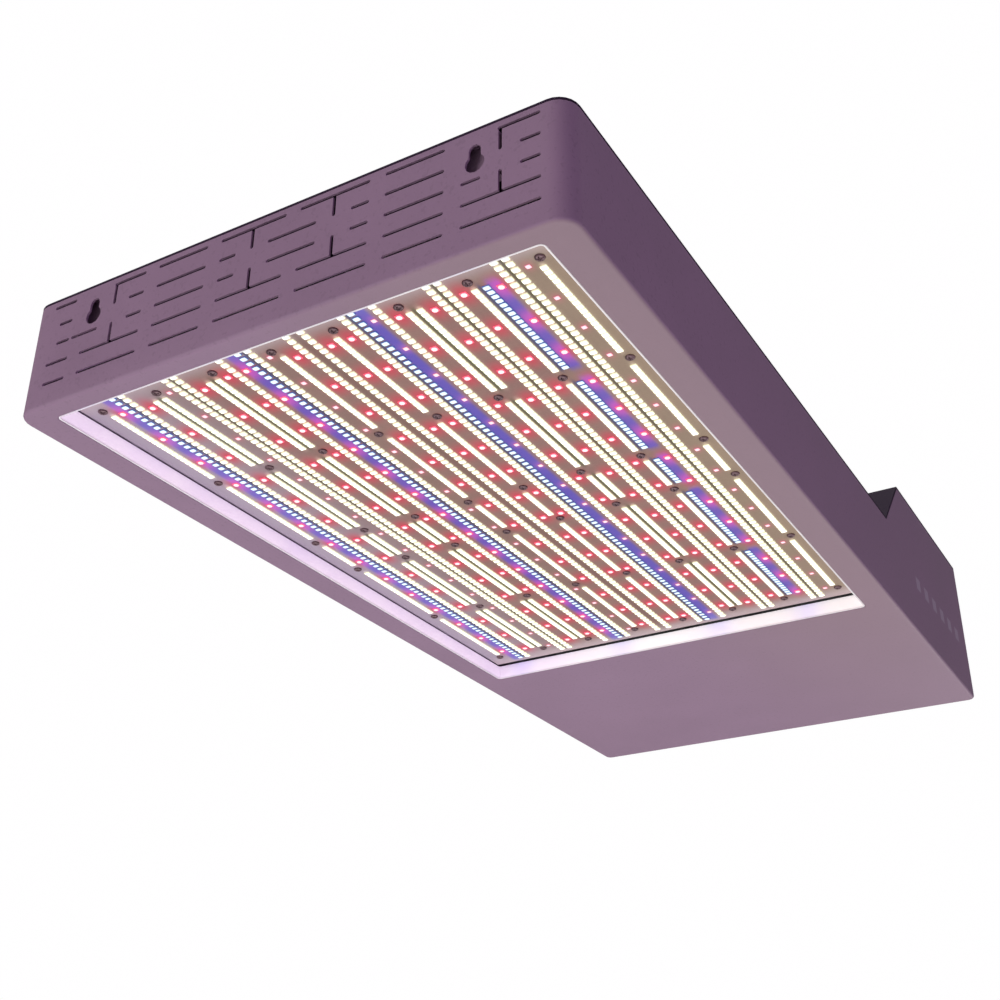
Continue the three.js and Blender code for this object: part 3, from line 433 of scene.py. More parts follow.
def make_piece(name, shape, finish, body="housing", replaced=(), crease=35):
    """A new piece from points and faces worked out with numpy."""
    points, quads, triangles = shape
    if volume(points, quads, triangles) < 0:
        quads = quads[:, ::-1]
        triangles = triangles[:, ::-1]
    mesh = bpy.data.meshes.new(name)
    mesh.from_pydata(points.tolist(), [], quads.tolist() + triangles.tolist())
    mesh.validate()
    print(name, "has", 2 * len(quads) + len(triangles), "triangles")
    return finish_piece(name, mesh, finish, body, replaced, crease)


def turned(profile, sides=32):
    """Circles through a profile of (radius, z): point = (radius cos a, radius sin a, z)."""
    radius, z = np.array(profile, float).T
    angle = np.arange(sides) * 2 * np.pi / sides
    flat = np.stack((np.cos(angle), np.sin(angle)), -1)
    rings = radius[:, None, None] * flat[None]
    heights = np.broadcast_to(z[:, None, None], (len(z), sides, 1))
    return closed_tube(np.concatenate((rings, heights), -1))

# %% [markdown]
# ## Sheet metal from the CAD
#
# The tray, covers and brackets already have the right shape in the CAD, but as loose triangles with
# knife edges. A copy has its triangles merged and its flat faces joined, and a Bevel modifier rounds
# each edge that turns more than about thirty degrees. The bevel's hardened normals keep flat sheet
# flat, so that only the edge catches the light, as it does on bent and deburred metal.

# %% Soften a CAD node
EDGE_ANGLE = math.radians(32)


def soften(node, finish, edge=0.2 * MM, body="housing", levels=0):
    """A copy of a CAD node with merged triangles, rounded edges and a finish of its own."""
    mesh = bpy.data.meshes.new(node + "_fine")
    work = bmesh.new()
    work.from_mesh(nodes[node].data)
    bmesh.ops.remove_doubles(work, verts=work.verts, dist=1e-6)
    bmesh.ops.dissolve_limit(work, angle_limit=math.radians(0.6), verts=work.verts, edges=work.edges)
    work.to_mesh(mesh)
    work.free()
    for name in [layer.name for layer in mesh.attributes if "normal" in layer.name]:
        mesh.attributes.remove(mesh.attributes[name])
    piece = finish_piece(node + "_fine", mesh, finish, body, [node], 32)
    if edge:
        bevel = piece.modifiers.new("rounded edges", "BEVEL")
        bevel.width = edge
        bevel.segments = 2
        bevel.limit_method = "ANGLE"
        bevel.angle_limit = EDGE_ANGLE
        bevel.harden_normals = True
    if levels:
        smooth = piece.modifiers.new("smooth", "SUBSURF")
        smooth.levels = levels
        smooth.render_levels = levels
    return piece


soften("housing_tray", housing_coat, edge=0.22 * MM)
soften("front_cover", cover_coat)
for node in sorted(nodes):
    if node.startswith("hanger_pocket"):
        soften(node, housing_coat)
print("tray, pockets and front cover softened")

# %% [markdown]
# ## Where the LEDs sit
#
# The board carries 44 columns of packages, 5.5 mm apart, in two halves that nearly mirror each
# other. Each letter below is one column, from the middle of the board outwards. White columns are
# unbroken (C) or stop at the screw rows (S); blue ones do the same (B and b); red LEDs (R) and small
# far-red ones (D) stand alone, some 25 mm apart. Two strings and a few pitches say it all, so no
# table of positions is needed.

# %% Lay out the columns
board_low, board_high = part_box("led_board")
BOARD_X = (board_low.x + board_high.x) / 2
BOARD_Y = (board_low.y + board_high.y) / 2
array_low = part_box("led_array")[0]
LED_DEPTH = 0.8 * MM
MASK_THICKNESS = 0.2 * MM
MASK_Z = array_low.z + LED_DEPTH  # lower face of the solder mask, where the packages sit

LEFT_COLUMNS = "CRSDCBRCRSSRCCDSSRCBRS"
RIGHT_COLUMNS = "CRSRCBDCRSSRCCRSbRCCDS"
FIRST_COLUMN = 4 * MM
COLUMN_PITCH = 5.5 * MM
UNBROKEN_HALF = 197 * MM
UNBROKEN_COUNT = 91
SCREW_ROWS = np.array((21, 106, 190.5)) * MM
SEGMENTS = ((-185.2, -112.4, 21), (-99.8, -27.2, 21), (-14.8, 14.8, 9), (27.2, 99.8, 21), (112.4, 185.2, 21))
HALF_PACKAGE = 1.4 * MM
RED_PITCH = 28.1 * MM
RED_COUNT = 14
FAR_RED_PITCH = 25 * MM
FAR_RED_COUNT = 16


def spaced(count, pitch):
    """count places with the same pitch, centred on zero."""
    return (np.arange(count) - (count - 1) / 2) * pitch


def column_places(kind, index):
    """Where one column's packages lie along Y, from the board's middle."""
    if kind in "CB":
        return np.linspace(-UNBROKEN_HALF, UNBROKEN_HALF, UNBROKEN_COUNT)
    if kind in "Sb":
        runs = []
        for start, end, count in SEGMENTS:
            runs.append(np.linspace(start * MM + HALF_PACKAGE, end * MM - HALF_PACKAGE, count))
        return np.concatenate(runs)
    if kind == "R":
        return spaced(RED_COUNT, RED_PITCH) + (1.5 if index % 2 else -1.5) * MM
    return spaced(FAR_RED_COUNT, FAR_RED_PITCH)


columns = []
for side, kinds in ((-1, LEFT_COLUMNS), (1, RIGHT_COLUMNS)):
    for index, kind in enumerate(kinds):
        column_x = BOARD_X + side * (FIRST_COLUMN + COLUMN_PITCH * index)
        columns.append((kind, side, column_x, BOARD_Y + column_places(kind, index)))


def places_of(kinds):
    """All package places of these kinds, as points on the solder mask."""
    chosen = [(x, y) for kind, side, x, y in columns if kind in kinds]
    x = np.concatenate([np.full(len(y), x) for x, y in chosen])
    y = np.concatenate([y for x, y in chosen])
    return np.stack((x, y, np.full(len(x), MASK_Z)), -1)


print("white", len(places_of("CS")), "blue", len(places_of("Bb")), "red", len(places_of("R")),
      "far red", len(places_of("D")))

# %% [markdown]
# ## Light that spills onto the board
#
# Round each red LED the board glows red, and beside each blue column lies a blue band, because the
# packages also shine sideways across the solder mask. A render could gather that light by itself,
# but only with very many samples. Here it is worked out once on a fine grid: for each column, how
# near a grid point is across the board times how near it is along the board. Those two are a column
# and a row of numbers, so one matrix product adds up all the packages of that column.

# %% Work out the spill
RED_LIGHT = np.array((0.55, 0.02, 0.05))
BLUE_LIGHT = np.array((0.012, 0.014, 0.38))
WHITE_LIGHT = np.array((0.55, 0.46, 0.36))
FAR_LIGHT = np.array((0.30, 0.06, 0.08))


def near(distance, reach):
    """A bell curve: 1 at distance 0, and a third at distance reach."""
    return np.exp(-(distance / reach) ** 2)


def band(distance, half):
    """A flat-topped bell: 1 inside half, falling fast outside it."""
    return 1 / (1 + (distance / half) ** 6)


GRID_X = np.linspace(board_low.x, board_high.x, 391)
GRID_Y = np.linspace(board_low.y, board_high.y, 176)
SPILL_ACROSS = {"R": 4.8 * MM, "D": 2.6 * MM, "C": 1.3 * MM, "S": 1.3 * MM}
SPILL_ALONG = {"R": 7.2 * MM, "D": 3.2 * MM, "C": 2.4 * MM, "S": 2.4 * MM}
SPILL_LIGHT = {"R": RED_LIGHT, "D": FAR_LIGHT, "C": WHITE_LIGHT, "S": WHITE_LIGHT}
BLUE_OFFSET = 3.9 * MM
BLUE_HALF = 2.9 * MM
PACKAGE_WIDTH = 3.5 * MM
WIDE_STRIP = 1.1 * COLUMN_PITCH  # between column centres: only the middle pair stands this far apart
WIDEST_STRIP = 1.5 * COLUMN_PITCH
STRIP_REACH = 0.45  # of the bare width between two packages
FULL_GLARE = 0.5
# colours of the faint painted glow left in the painted shade between close columns
GAP_BLUE = np.array((0.010, 0.022, 0.110))
GAP_OLIVE = np.array((0.055, 0.072, 0.012))
GAP_BROWN = np.array((0.058, 0.048, 0.014))
GAP_RED = np.array((0.110, 0.045, 0.032))


def column_spill(kind, side, x, y):
    """The light of one column on the grid: across times along, times its colour."""
    if kind in "Bb":
        across = band(GRID_X - x - side * BLUE_OFFSET, BLUE_HALF)
        along = near(GRID_Y[:, None] - y[None], 4 * MM).sum(1).clip(0, 1)
        light = BLUE_LIGHT
    else:
        across = near(GRID_X - x, SPILL_ACROSS[kind])
        along = near(GRID_Y[:, None] - y[None], SPILL_ALONG[kind]).sum(1).clip(0, 1)
        light = SPILL_LIGHT[kind]
    return (along[:, None] * across[None])[..., None] * light


def presence(y):
    """1 along Y where a column has packages, and 0 in its breaks."""
    return near(GRID_Y[:, None] - y[None], 3 * MM).sum(1).clip(0, 1)


def gap_shade_between(first, second):
    """Painted shade: the dark strip between two columns that stand side by side, where both have packages.
    """
    distance = second[2] - first[2]
    across = near(GRID_X - first[2] - distance / 2, STRIP_REACH * (distance - PACKAGE_WIDTH))
    across = across * (COLUMN_PITCH / distance) ** 2  # a wider strip is less dark
    along = np.minimum(presence(first[3]), presence(second[3]))
    return along[:, None] * across[None]


def gap_light(first, second):
    """The faint glow left in that strip: blue beside a blue column, else olive, brown or red."""
    kinds = first[0] + second[0]
    if second[2] - first[2] > WIDE_STRIP:
        return GAP_RED
    if "B" in kinds or "b" in kinds:
        return GAP_BLUE
    return GAP_OLIVE if "S" in kinds else GAP_BROWN


spill = sum(column_spill(*column) for column in columns)
coloured = sum(column_spill(*column) for column in columns if column[0] in "RBbD")
rows = sorted((column for column in columns if column[0] in "CSBb"), key=lambda column: column[2])
neighbours = [pair for pair in zip(rows, rows[1:]) if pair[1][2] - pair[0][2] < WIDEST_STRIP]
# painted shade between close columns: there the spill is dimmed and a faint painted glow put in its place
gap = sum(gap_shade_between(*pair) for pair in neighbours).clip(0, 1)
gap_glow = sum(gap_shade_between(*pair)[..., None] * gap_light(*pair) for pair in neighbours)
spill = spill * (1 - gap[..., None]) + gap_glow
glare = (coloured.max(-1) / FULL_GLARE).clip(0, 1)
print("spill grid", spill.shape, "brightest", spill.max().round(2), "close pairs", len(neighbours))

# %% [markdown]
# ## The solder mask
#
# The board's lower face is a thin printed layer: copper under a pale solder mask. It is a plate from
# the same grid as the spill, so each grid point can carry the spill as a colour attribute. The
# material reads that attribute as emission. A second one paints shade into the narrow gap between
# columns that stand close together, and a third hides the mask's own tone where coloured light drowns it.

# %% Solder mask piece and finish
def solder_mask_finish():
    """Pale matt mask over copper: soft clouds, fine weave of the laminate, painted lilac light near the left
    wall, a yellower tone to the right and a paler one at the ends, painted shade between close columns, and
    the spilt light.
    """
    mask = Finish("solder_mask")
    spilt = mask.node("ShaderNodeAttribute", {"attribute_name": "spill"}, output="Color")
    dark = mask.node("ShaderNodeAttribute", {"attribute_name": "gap"}, output="Fac")
    hidden = mask.node("ShaderNodeAttribute", {"attribute_name": "glare"}, output="Fac")
    x, y, z = mask.xyz()
    cloud = mask.noise(30 * MM, detail=3)
    grain = mask.noise(1.2 * MM, detail=2)
    left = mask.step(x, BOARD_X - 50 * MM, board_low.x)
    tone = mask.mix(cloud, (0.225, 0.112, 0.102), (0.33, 0.190, 0.156))
    tone = mask.mix(0.35 * grain, tone, (0.15, 0.08, 0.08))
    # painted light: lilac from the reflector's left wall falling on the mask
    tone = mask.mix(left, tone, (0.36, 0.28, 0.36))
    right = mask.step(x, BOARD_X + 70 * MM, board_high.x)
    tone = mask.mix(0.4 * right, tone, (0.34, 0.28, 0.16))
    ends = mask.step(abs(y - BOARD_Y), 186 * MM, 202 * MM)
    tone = mask.mix(0.8 * ends, tone, (0.48, 0.36, 0.39))
    tone = mask.mix(0.85 * hidden, tone, (0.02, 0.01, 0.02))
    # painted shade in the strips between close columns
    tone = mask.mix(0.95 * dark, tone, (0.010, 0.008, 0.008))
    mask.feed("Base Color", tone)
    mask.feed("Roughness", 0.42 + 0.2 * grain)
    mask.feed("Emission Color", spilt)
    mask.feed("Emission Strength", 1.0)
    mask.bump(grain, 0.02 * MM)
    return mask


def solder_mask_shape():
    """Two flat grids, MASK_THICKNESS apart: the rings run round the plate's section."""
    mesh_x, mesh_y = np.meshgrid(GRID_X, GRID_Y)
    lower = np.stack((mesh_x, mesh_y, np.full_like(mesh_x, MASK_Z)), -1)
    upper = lower[:, [0, -1]][:, ::-1] + (0, 0, MASK_THICKNESS)
    return closed_tube(np.concatenate((lower, upper), 1))


def on_rings(values, fill):
    """Grid values as one value for each point of solder_mask_shape; the upper face gets fill."""
    upper = np.full((len(GRID_Y), 2, values.shape[-1]), fill, float)
    rings = np.concatenate((values, upper), 1).reshape(-1, values.shape[-1])
    return np.concatenate((rings, np.zeros((2, values.shape[-1]))))


solder_mask = make_piece("solder_mask", solder_mask_shape(), solder_mask_finish(),
                         replaced=["led_array"])
colours = np.concatenate((on_rings(spill, 0), np.ones((len(solder_mask.data.vertices), 1))), 1)
layer = solder_mask.data.attributes.new("spill", "FLOAT_COLOR", "POINT")
layer.data.foreach_set("color", colours.astype(np.float32).ravel())
for name, values in (("gap", gap), ("glare", glare)):
    layer = solder_mask.data.attributes.new(name, "FLOAT", "POINT")
    layer.data.foreach_set("value", on_rings(values[..., None], 0).astype(np.float32).ravel())

# %% [markdown]
# ## LED packages
#
# A package is a white plastic cup on two solder pads, with phosphor or clear resin in its window.
# Each is a tube of squarish rings: up the outer wall, over the rim, down into the window and across.
# There are over two thousand of them, so a ring has only eight points. The finish is a light: bright
# in the window, dimmer on the rim, told apart by an attribute that is 1 on the window's points.

# %% Package shapes and finishes
def square_rings(rings, sides=4):
    """Rings given as (half x, half y, height below the mask, squareness).

    Round a ring the point is half size times (cos a, sin a) over max(|cos a|, |sin a|) to the power
    squareness: 1 makes a rectangle and 0 an ellipse.
    """
    half_x, half_y, depth, squareness = np.array(rings, float).T[..., None]
    angle = np.pi / 4 + np.arange(sides) * 2 * np.pi / sides
    widest = np.maximum(abs(np.cos(angle)), abs(np.sin(angle))) ** squareness
    x = half_x * np.cos(angle) / widest
    y = half_y * np.sin(angle) / widest
    z = np.broadcast_to(-depth, x.shape)
    return closed_tube(np.stack((x, y, z), -1) * MM)


def colour_mean(first, second):
    """The middle of two colours."""
    return tuple((a + b) / 2 for a, b in zip(first, second))


def led_finish(name, rim, window, strength):
    """A lit package: the window attribute goes from the rim's colour to the window's."""
    led = Finish(name)
    lit = led.node("ShaderNodeAttribute", {"attribute_name": "window"}, output="Fac")
    cloud = led.noise(9 * MM, detail=1)
    colour = led.mix(lit, rim, window)
    led.feed("Base Color", led.mix(cloud, shade(rim, 0.8), rim))
    led.feed("Roughness", 0.3 + 0.1 * cloud)
    led.feed("Emission Color", led.mix(0.25 * cloud, colour, shade(colour_mean(rim, window), 0.8)))
    led.feed("Emission Strength", strength)
    return led


def place_packages(name, rings, kinds, finish, sides=8, window_rows=2):
    """Packages at all places of some kinds of column; the last rows of rings are the window."""
    shape = square_rings(rings, sides)
    places = places_of(kinds)
    piece = make_piece(name, repeat(shape, places), finish, crease=30)
    window = np.zeros(len(shape[0]))
    window[(len(rings) - window_rows) * sides:len(rings) * sides] = 1
    window[-1] = 1
    layer = piece.data.attributes.new("window", "FLOAT", "POINT")
    layer.data.foreach_set("value", np.tile(window, len(places)).astype(np.float32))
    return piece


FLAT_PACKAGE = (
    (1.75, 1.40, -0.05, 1),
    (1.75, 1.40, 0.60, 0.8),
    (1.50, 1.24, 0.68, 0.3),
    (1.25, 1.04, 0.60, 0.2),
)
BAR_PACKAGE = (
    (1.55, 1.40, -0.05, 1),
    (1.55, 1.40, 0.60, 1),
    (1.34, 1.28, 0.68, 0.7),
    (1.15, 1.10, 0.60, 0.7),
)
DOME_PACKAGE = (
    (1.65, 1.65, -0.05, 1),
    (1.65, 1.65, 0.30, 0.9),
    (1.55, 1.55, 0.34, 0),
    (1.42, 1.42, 0.58, 0),
    (0.85, 0.85, 0.76, 0),
)
SMALL_PACKAGE = (
    (1.25, 1.25, -0.05, 1),
    (1.25, 1.25, 0.30, 0.9),
    (1.10, 1.10, 0.34, 0),
    (0.85, 0.85, 0.52, 0),
)
white_led = led_finish("lit_white_led", (0.44, 0.45, 0.30), (1.0, 0.98, 0.91), 1.5)
blue_led = led_finish("lit_blue_led", (0.012, 0.030, 0.17), (0.80, 0.97, 1.0), 1.3)
red_led = led_finish("lit_red_led", (0.62, 0.05, 0.10), (1.0, 0.78, 0.82), 1.3)
far_red_led = led_finish("lit_far_red_led", (0.36, 0.09, 0.14), (1.0, 0.76, 0.80), 1.15)
place_packages("white_leds", FLAT_PACKAGE, "C", white_led)
place_packages("white_bar_leds", BAR_PACKAGE, "S", white_led)
place_packages("blue_leds", FLAT_PACKAGE, "Bb", blue_led)
place_packages("red_leds", DOME_PACKAGE, "R", red_led)
place_packages("far_red_leds", SMALL_PACKAGE, "D", far_red_led)

# %% [markdown]
# ## Screws
#
# The board is held by six rows of eight small screws, and the covers by larger ones. A pan head is a
# dome with a cross pressed into it. Rings alone can't make a cross, but the height of each ring can:
# it is the dome's height less a cross-shaped pit, worked out at every point of a polar grid.

# %% Screw heads
def pan_head(radius, height, length, shank):
    """A pan-head screw standing on z = 0 with its shank below.

    On the head, height is (1 - (r / radius) ^ 4) to the power 0.4 times the full height. The
    cross pit is deepest where the smaller of |x| and |y| is under an eighth of the radius.
    """
    sides = 32
    angle = (np.arange(sides) + 0.5) * 2 * np.pi / sides
    spread = np.array((0.99, 0.96, 0.88, 0.74, 0.62, 0.52, 0.40, 0.28, 0.17, 0.08))[:, None]
    x = spread * np.cos(angle)
    y = spread * np.sin(angle)
    dome = (1 - spread ** 4) ** 0.4
    arm = np.minimum(abs(x), abs(y))
    pit = 1 / (1 + (arm / 0.13) ** 8) / (1 + (spread / 0.60) ** 14)
    z = height * (dome - 0.62 * pit)
    head = np.stack((radius * x, radius * y, z), -1)
    stem_radius = np.array((shank * 0.6, shank, shank, radius * 0.97))[:, None]
    stem_z = np.array((-length, -length + shank * 0.5, 0, 0))[:, None]
    circle = np.stack((np.cos(angle), np.sin(angle)), -1)
    stem = np.concatenate((
        stem_radius[..., None] * circle[None],
        np.broadcast_to(stem_z[..., None], (4, sides, 1)),
    ), -1)
    return closed_tube(np.concatenate((stem, head)))


BOARD_SCREW_XS = np.array((17.3, 51.9, 86.5, 121.1)) * MM
screw_x, screw_y = np.meshgrid(
    BOARD_X + np.concatenate((-BOARD_SCREW_XS, BOARD_SCREW_XS)),
    BOARD_Y + np.concatenate((-SCREW_ROWS, SCREW_ROWS)),
)
screw_places = np.stack((screw_x.ravel(), screw_y.ravel(), np.full(screw_x.size, MASK_Z)), -1)
small_screw = pan_head(2.4 * MM, 1.1 * MM, 1.2 * MM, 1.2 * MM)
upside_down = (small_screw[0] * (1, 1, -1), small_screw[1], small_screw[2])
make_piece("board_screws", repeat(upside_down, screw_places), screw_steel,
           replaced=[f"board_screw_{k}" for k in range(1, 5)])

cover_screws = [name for name in sorted(nodes) if "cover_screw" in name]
for name in cover_screws:
    low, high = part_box(name)
    head_height = 1.9 * MM
    seat = np.array(((low.x + high.x) / 2, (low.y + high.y) / 2, high.z - head_height))
    screw = pan_head((high.x - low.x) / 2, head_height, high.z - head_height - low.z, 1.5 * MM)
    make_piece(name + "_fine", repeat(screw, seat[None]), screw_steel, replaced=[name])

# %% [markdown]
# ## The reflector frame and the board behind it
#
# The frame is folded sheet in gloss white. Its walls are lit in the LEDs' colours: lilac by the blue
# columns on the left, and warmer to the right. The finish paints that light in as a faint emission
# that drifts across the frame, over a white coat.

# %% Reflector and board
def reflector_finish():
    """White gloss coat with the LEDs' light painted along its inner walls as emission."""
    gloss = Finish("white_gloss_coat_painted_led_light")
    x, y, z = gloss.xyz()
    cloud = gloss.noise(35 * MM, detail=2)
    grain = gloss.noise(0.9 * MM)
    across = gloss.step(x + 30 * MM * cloud, board_low.x, board_high.x)
    gloss.feed("Base Color", gloss.mix(cloud, (0.66, 0.58, 0.64), (0.76, 0.69, 0.73)))
    gloss.feed("Roughness", 0.24 + 0.12 * grain)
    middle = 1 - abs(2 * across - 1)
    # painted light: the LEDs' colours on the walls, given as emission
    painted_led_light = gloss.mix(across, (0.72, 0.54, 0.87), (0.72, 0.70, 0.68))
    painted_led_light = gloss.mix(middle, painted_led_light, (0.88, 0.92, 0.90))
    painted_led_light = gloss.mix(0.3 * cloud, painted_led_light, (0.95, 0.82, 0.66))
    for kind, side, column_x, places in columns:
        if kind in "Bb":
            distance = (x - column_x - side * BLUE_OFFSET) / (9 * MM)
            bell = gloss.math("EXPONENT", -1 * distance * distance)
            painted_led_light = gloss.mix(0.5 * bell, painted_led_light, (0.42, 0.36, 0.95))
    # the painted light is weaker at the frame's lower edge
    inner = 0.28 + 0.72 * gloss.step(z, 0.2 * MM, 1.5 * MM)
    gloss.feed("Emission Color", gloss.mix(inner, (0, 0, 0), painted_led_light))
    gloss.feed("Emission Strength", 0.6)
    gloss.bump(grain, 0.02 * MM)
    return gloss


soften("reflector_frame", reflector_finish(), edge=0.12 * MM)
soften("led_board", aluminium, edge=0.1 * MM)
soften("heat_sink", aluminium, edge=0.15 * MM)
print("reflector, board and heat sink softened")

# %% [markdown]
# ## The slope's own frame
#
# The switch and the dimmer stand on the sloping part of the driver cover. Working on a slope is
# easier in its own frame: x across, u up the slope, and w straight out of it. The dimmer's joint
# already has the slope's direction as its axis and a point of it as its position.

# %% The slope's frame
DIMMER = Vector(joints["dimmer_turn"]["pos_m"])
OUTWARD = Vector(joints["dimmer_turn"]["axis"])
UPHILL = Vector((0, OUTWARD.z, -OUTWARD.y))


def on_slope(shape):
    """Moves a shape from the dimmer's frame (x, u, w) into the light's frame."""
    points = shape[0]
    x = points[:, :1] * np.array((1.0, 0, 0))
    u = points[:, 1:2] * np.array(UPHILL)
    w = points[:, 2:3] * np.array(OUTWARD)
    return (x + u + w + np.array(DIMMER), *shape[1:])


def slope_axes(finish, centre):
    """Wires for the distance across and up the slope from a point of it."""
    x, y, z = finish.xyz()
    across = x - centre.x
    up = (y - centre.y) * UPHILL.y + (z - centre.z) * UPHILL.z
    return across, up


print("uphill is", [round(value, 3) for value in UPHILL])

# %% [markdown]
# ## The driver cover and its printed scale
#
# Round the dimmer's knob the cover has a scale: eleven fine ticks over 300 degrees, without numbers.
# The mask is worked out from the distance and the angle to the knob's axis: a tick is where the angle
# is close to a whole number of tenths of the scale.

# %% Driver cover
SCALE_DEGREES = 300
TICKS = 10
TICK_INNER = 12.6 * MM
TICK_OUTER = 15.4 * MM
INK = (0.52, 0.46, 0.52)


def scale_mask(coat):
    """1 on the ticks round the dimmer."""
    across, up = slope_axes(coat, DIMMER)
    radius = coat.math("SQRT", across * across + up * up)
    angle = coat.math("ARCTAN2", across, up)
    turn = angle / math.radians(SCALE_DEGREES / TICKS)
    off_tick = abs(turn - coat.math("ROUND", turn)) * radius * math.radians(SCALE_DEGREES / TICKS)
    line = 1 - coat.step(off_tick, 0.25 * MM, 0.45 * MM)
    inside = coat.step(radius, TICK_INNER, TICK_INNER + 0.3 * MM)
    inside = inside * (1 - coat.step(radius, TICK_OUTER, TICK_OUTER + 0.3 * MM))
    half_scale = math.radians(SCALE_DEGREES / 2)
    return line * inside * (1 - coat.step(abs(angle), half_scale + 0.05, half_scale + 0.1))


scale_coat = powder_coat("driver_cover_powder_coat", COVER_COLOUR, 0.56, COVER_GLOSS)
scale_coat.feed("Base Color", scale_coat.mix(0.8 * scale_mask(scale_coat), scale_coat.tone, INK))
soften("driver_cover", scale_coat)

# %% [markdown]
# ## The dimmer
#
# A knob of moulded plastic with flutes for the fingers. It is a lathe shape whose radius also depends
# on the angle: round each ring the radius dips by a small share in every flute, and the dip fades out
# over the skirt and the top. A pale line on its top points at the scale. A real knob is hollow
# underneath, over the dimmer's bush; this one is closed there, so the bush ends inside it.

# %% Knob and pointer
FLUTES = 18
KNOB_PROFILE = np.array((
    (11.0, 3.6, 0), (11.0, 4.8, 0), (10.7, 5.2, 0), (9.9, 5.4, 0), (9.6, 5.8, 1), (9.45, 7.5, 1),
    (9.25, 10, 1), (9.05, 13, 1), (8.9, 14.6, 1), (8.5, 15.4, 0.5), (7.9, 15.85, 0), (7.2, 15.9, 0),
    (6.6, 15.6, 0), (3.0, 15.5, 0),
))


def knob_shape():
    """Rings of radius r (1 - dip), where dip = 0.07 fluted (0.5 + 0.5 cos(flutes a)) ^ 2."""
    radius, height, fluted = KNOB_PROFILE.T[..., None]
    angle = np.arange(FLUTES * 8) * 2 * np.pi / (FLUTES * 8)
    dip = 0.07 * fluted * (0.5 + 0.5 * np.cos(FLUTES * angle)) ** 2
    around = radius * (1 - dip)
    z = np.broadcast_to(height, around.shape)
    return closed_tube(np.stack((around * np.cos(angle), around * np.sin(angle), z), -1) * MM)


make_piece("fluted_knob", on_slope(knob_shape()), black_plastic, body="dimmer",
           replaced=["dimmer_knob"])
pointer_rings = (
    (0.35, 2.4, -15.3, 0.8),
    (0.50, 2.9, -15.5, 0.8),
    (0.50, 2.9, -15.8, 0.8),
    (0.30, 2.7, -15.95, 0.8),
)
pointer_points, *pointer_faces = square_rings(pointer_rings, sides=16)
pointer = (pointer_points + np.array((0, 4.0, 0)) * MM, *pointer_faces)
make_piece("pointer_line", on_slope(pointer), grey_plastic, body="dimmer")
for node in ("dimmer_body", "dimmer_nut"):
    soften(node, zinc, edge=0.15 * MM)
soften("dimmer_shaft", zinc, edge=0.15 * MM, body="dimmer")

# %% [markdown]
# ## The power switch
#
# A rocker switch snaps between two leans. Its marks are the two that every mains switch has: a bar at
# the on end and a ring at the off end. Both are masks in the slope's frame, measured from the
# rocker's pivot, and they ride with the rocker, because Object coordinates belong to the piece.

# %% Rocker and case
PIVOT = Vector(joints["rocker_tilt"]["pos_m"])
MARK_DISTANCE = 7.2 * MM


def rocker_finish():
    """Red plastic with a pale bar and ring."""
    red = moulded("marked_rocker_plastic", (0.42, 0.018, 0.016), 0.16, 0.9 * MM, 0.01 * MM)
    across, up = slope_axes(red, PIVOT)
    soft = 0.12 * MM
    bar = 1 - red.step(abs(across), 0.35 * MM, 0.35 * MM + soft)
    bar = bar * (1 - red.step(abs(up - MARK_DISTANCE), 2.0 * MM, 2.0 * MM + soft))
    below = up + MARK_DISTANCE
    from_ring = abs(red.math("SQRT", across * across + below * below) - 1.8 * MM)
    ring = 1 - red.step(from_ring, 0.3 * MM, 0.3 * MM + soft)
    mark = red.math("MAXIMUM", bar, ring)
    red.feed("Base Color", red.mix(mark, red.tone, (0.80, 0.78, 0.76)))
    return red


soften("switch_rocker", rocker_finish(), edge=0.35 * MM, body="power_rocker")
soften("switch_case", black_plastic, edge=0.25 * MM)
print("switch softened")

# %% [markdown]
# ## Fans
#
# Two axial fans blow through grilles in the cover. A real blade is a thin wing: cambered, steep at
# the hub and flatter at the tip. Each is a tube whose rings are its section: along the blade the
# section moves outwards, grows and untwists. Seven turned copies and a lathed hub make a rotor. A real
# hub is a hollow cup over the frame's boss; this one is closed underneath, so the boss ends inside it.

# %% Fan rotors
BLADES = 7
HUB = 14.6 * MM
TIP = 36.4 * MM
frame_low, frame_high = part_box("fan_frame_front")
ROTOR_BOTTOM = frame_low.z + 3.4 * MM
ROTOR_TOP = frame_high.z - 2 * MM


def blade_shape():
    """One blade along X.

    Its section is an ellipse of chord c and thickness 1.4 mm, bowed by a parabola, and turned by a
    pitch that falls from 42 degrees at the hub to 26 at the tip.
    """
    share = np.linspace(0, 1, 9)[:, None]
    angle = (np.arange(16) * 2 * np.pi / 16)[None]
    chord = (15 + 3 * share - 4 * share ** 6) * MM
    along = chord / 2 * np.cos(angle)
    bow = 1.6 * MM * (1 - np.cos(angle) ** 2)
    thick = 0.7 * MM * np.sin(angle) + bow
    pitch = np.radians(42 - 16 * share)
    x = HUB - 1.2 * MM + (TIP - HUB) * share + 0 * angle
    y = along * np.cos(pitch) - thick * np.sin(pitch)
    z = along * np.sin(pitch) + thick * np.cos(pitch)
    return closed_tube(np.stack((x, y, z), -1))


def rotor_shape():
    """A hub cup and its blades, each blade turned by a whole share of a circle."""
    middle = (ROTOR_BOTTOM + ROTOR_TOP) / 2
    hub = turned((
        (1.2 * MM, ROTOR_BOTTOM), (13.4 * MM, ROTOR_BOTTOM), (HUB, ROTOR_BOTTOM + 0.4 * MM),
        (HUB, ROTOR_TOP - 1.6 * MM), (HUB - 0.5 * MM, ROTOR_TOP - 0.5 * MM),
        (HUB - 1.7 * MM, ROTOR_TOP), (10 * MM, ROTOR_TOP), (9.6 * MM, ROTOR_TOP - 0.3 * MM),
        (4 * MM, ROTOR_TOP - 0.3 * MM),
    ), 48)
    points, *faces = blade_shape()
    shapes = [hub]
    for k in range(BLADES):
        turn = np.array(Matrix.Rotation(2 * math.pi * k / BLADES, 3, "Z"))
        shapes.append((points @ turn.T + (0, 0, middle), *faces))
    return join(shapes)


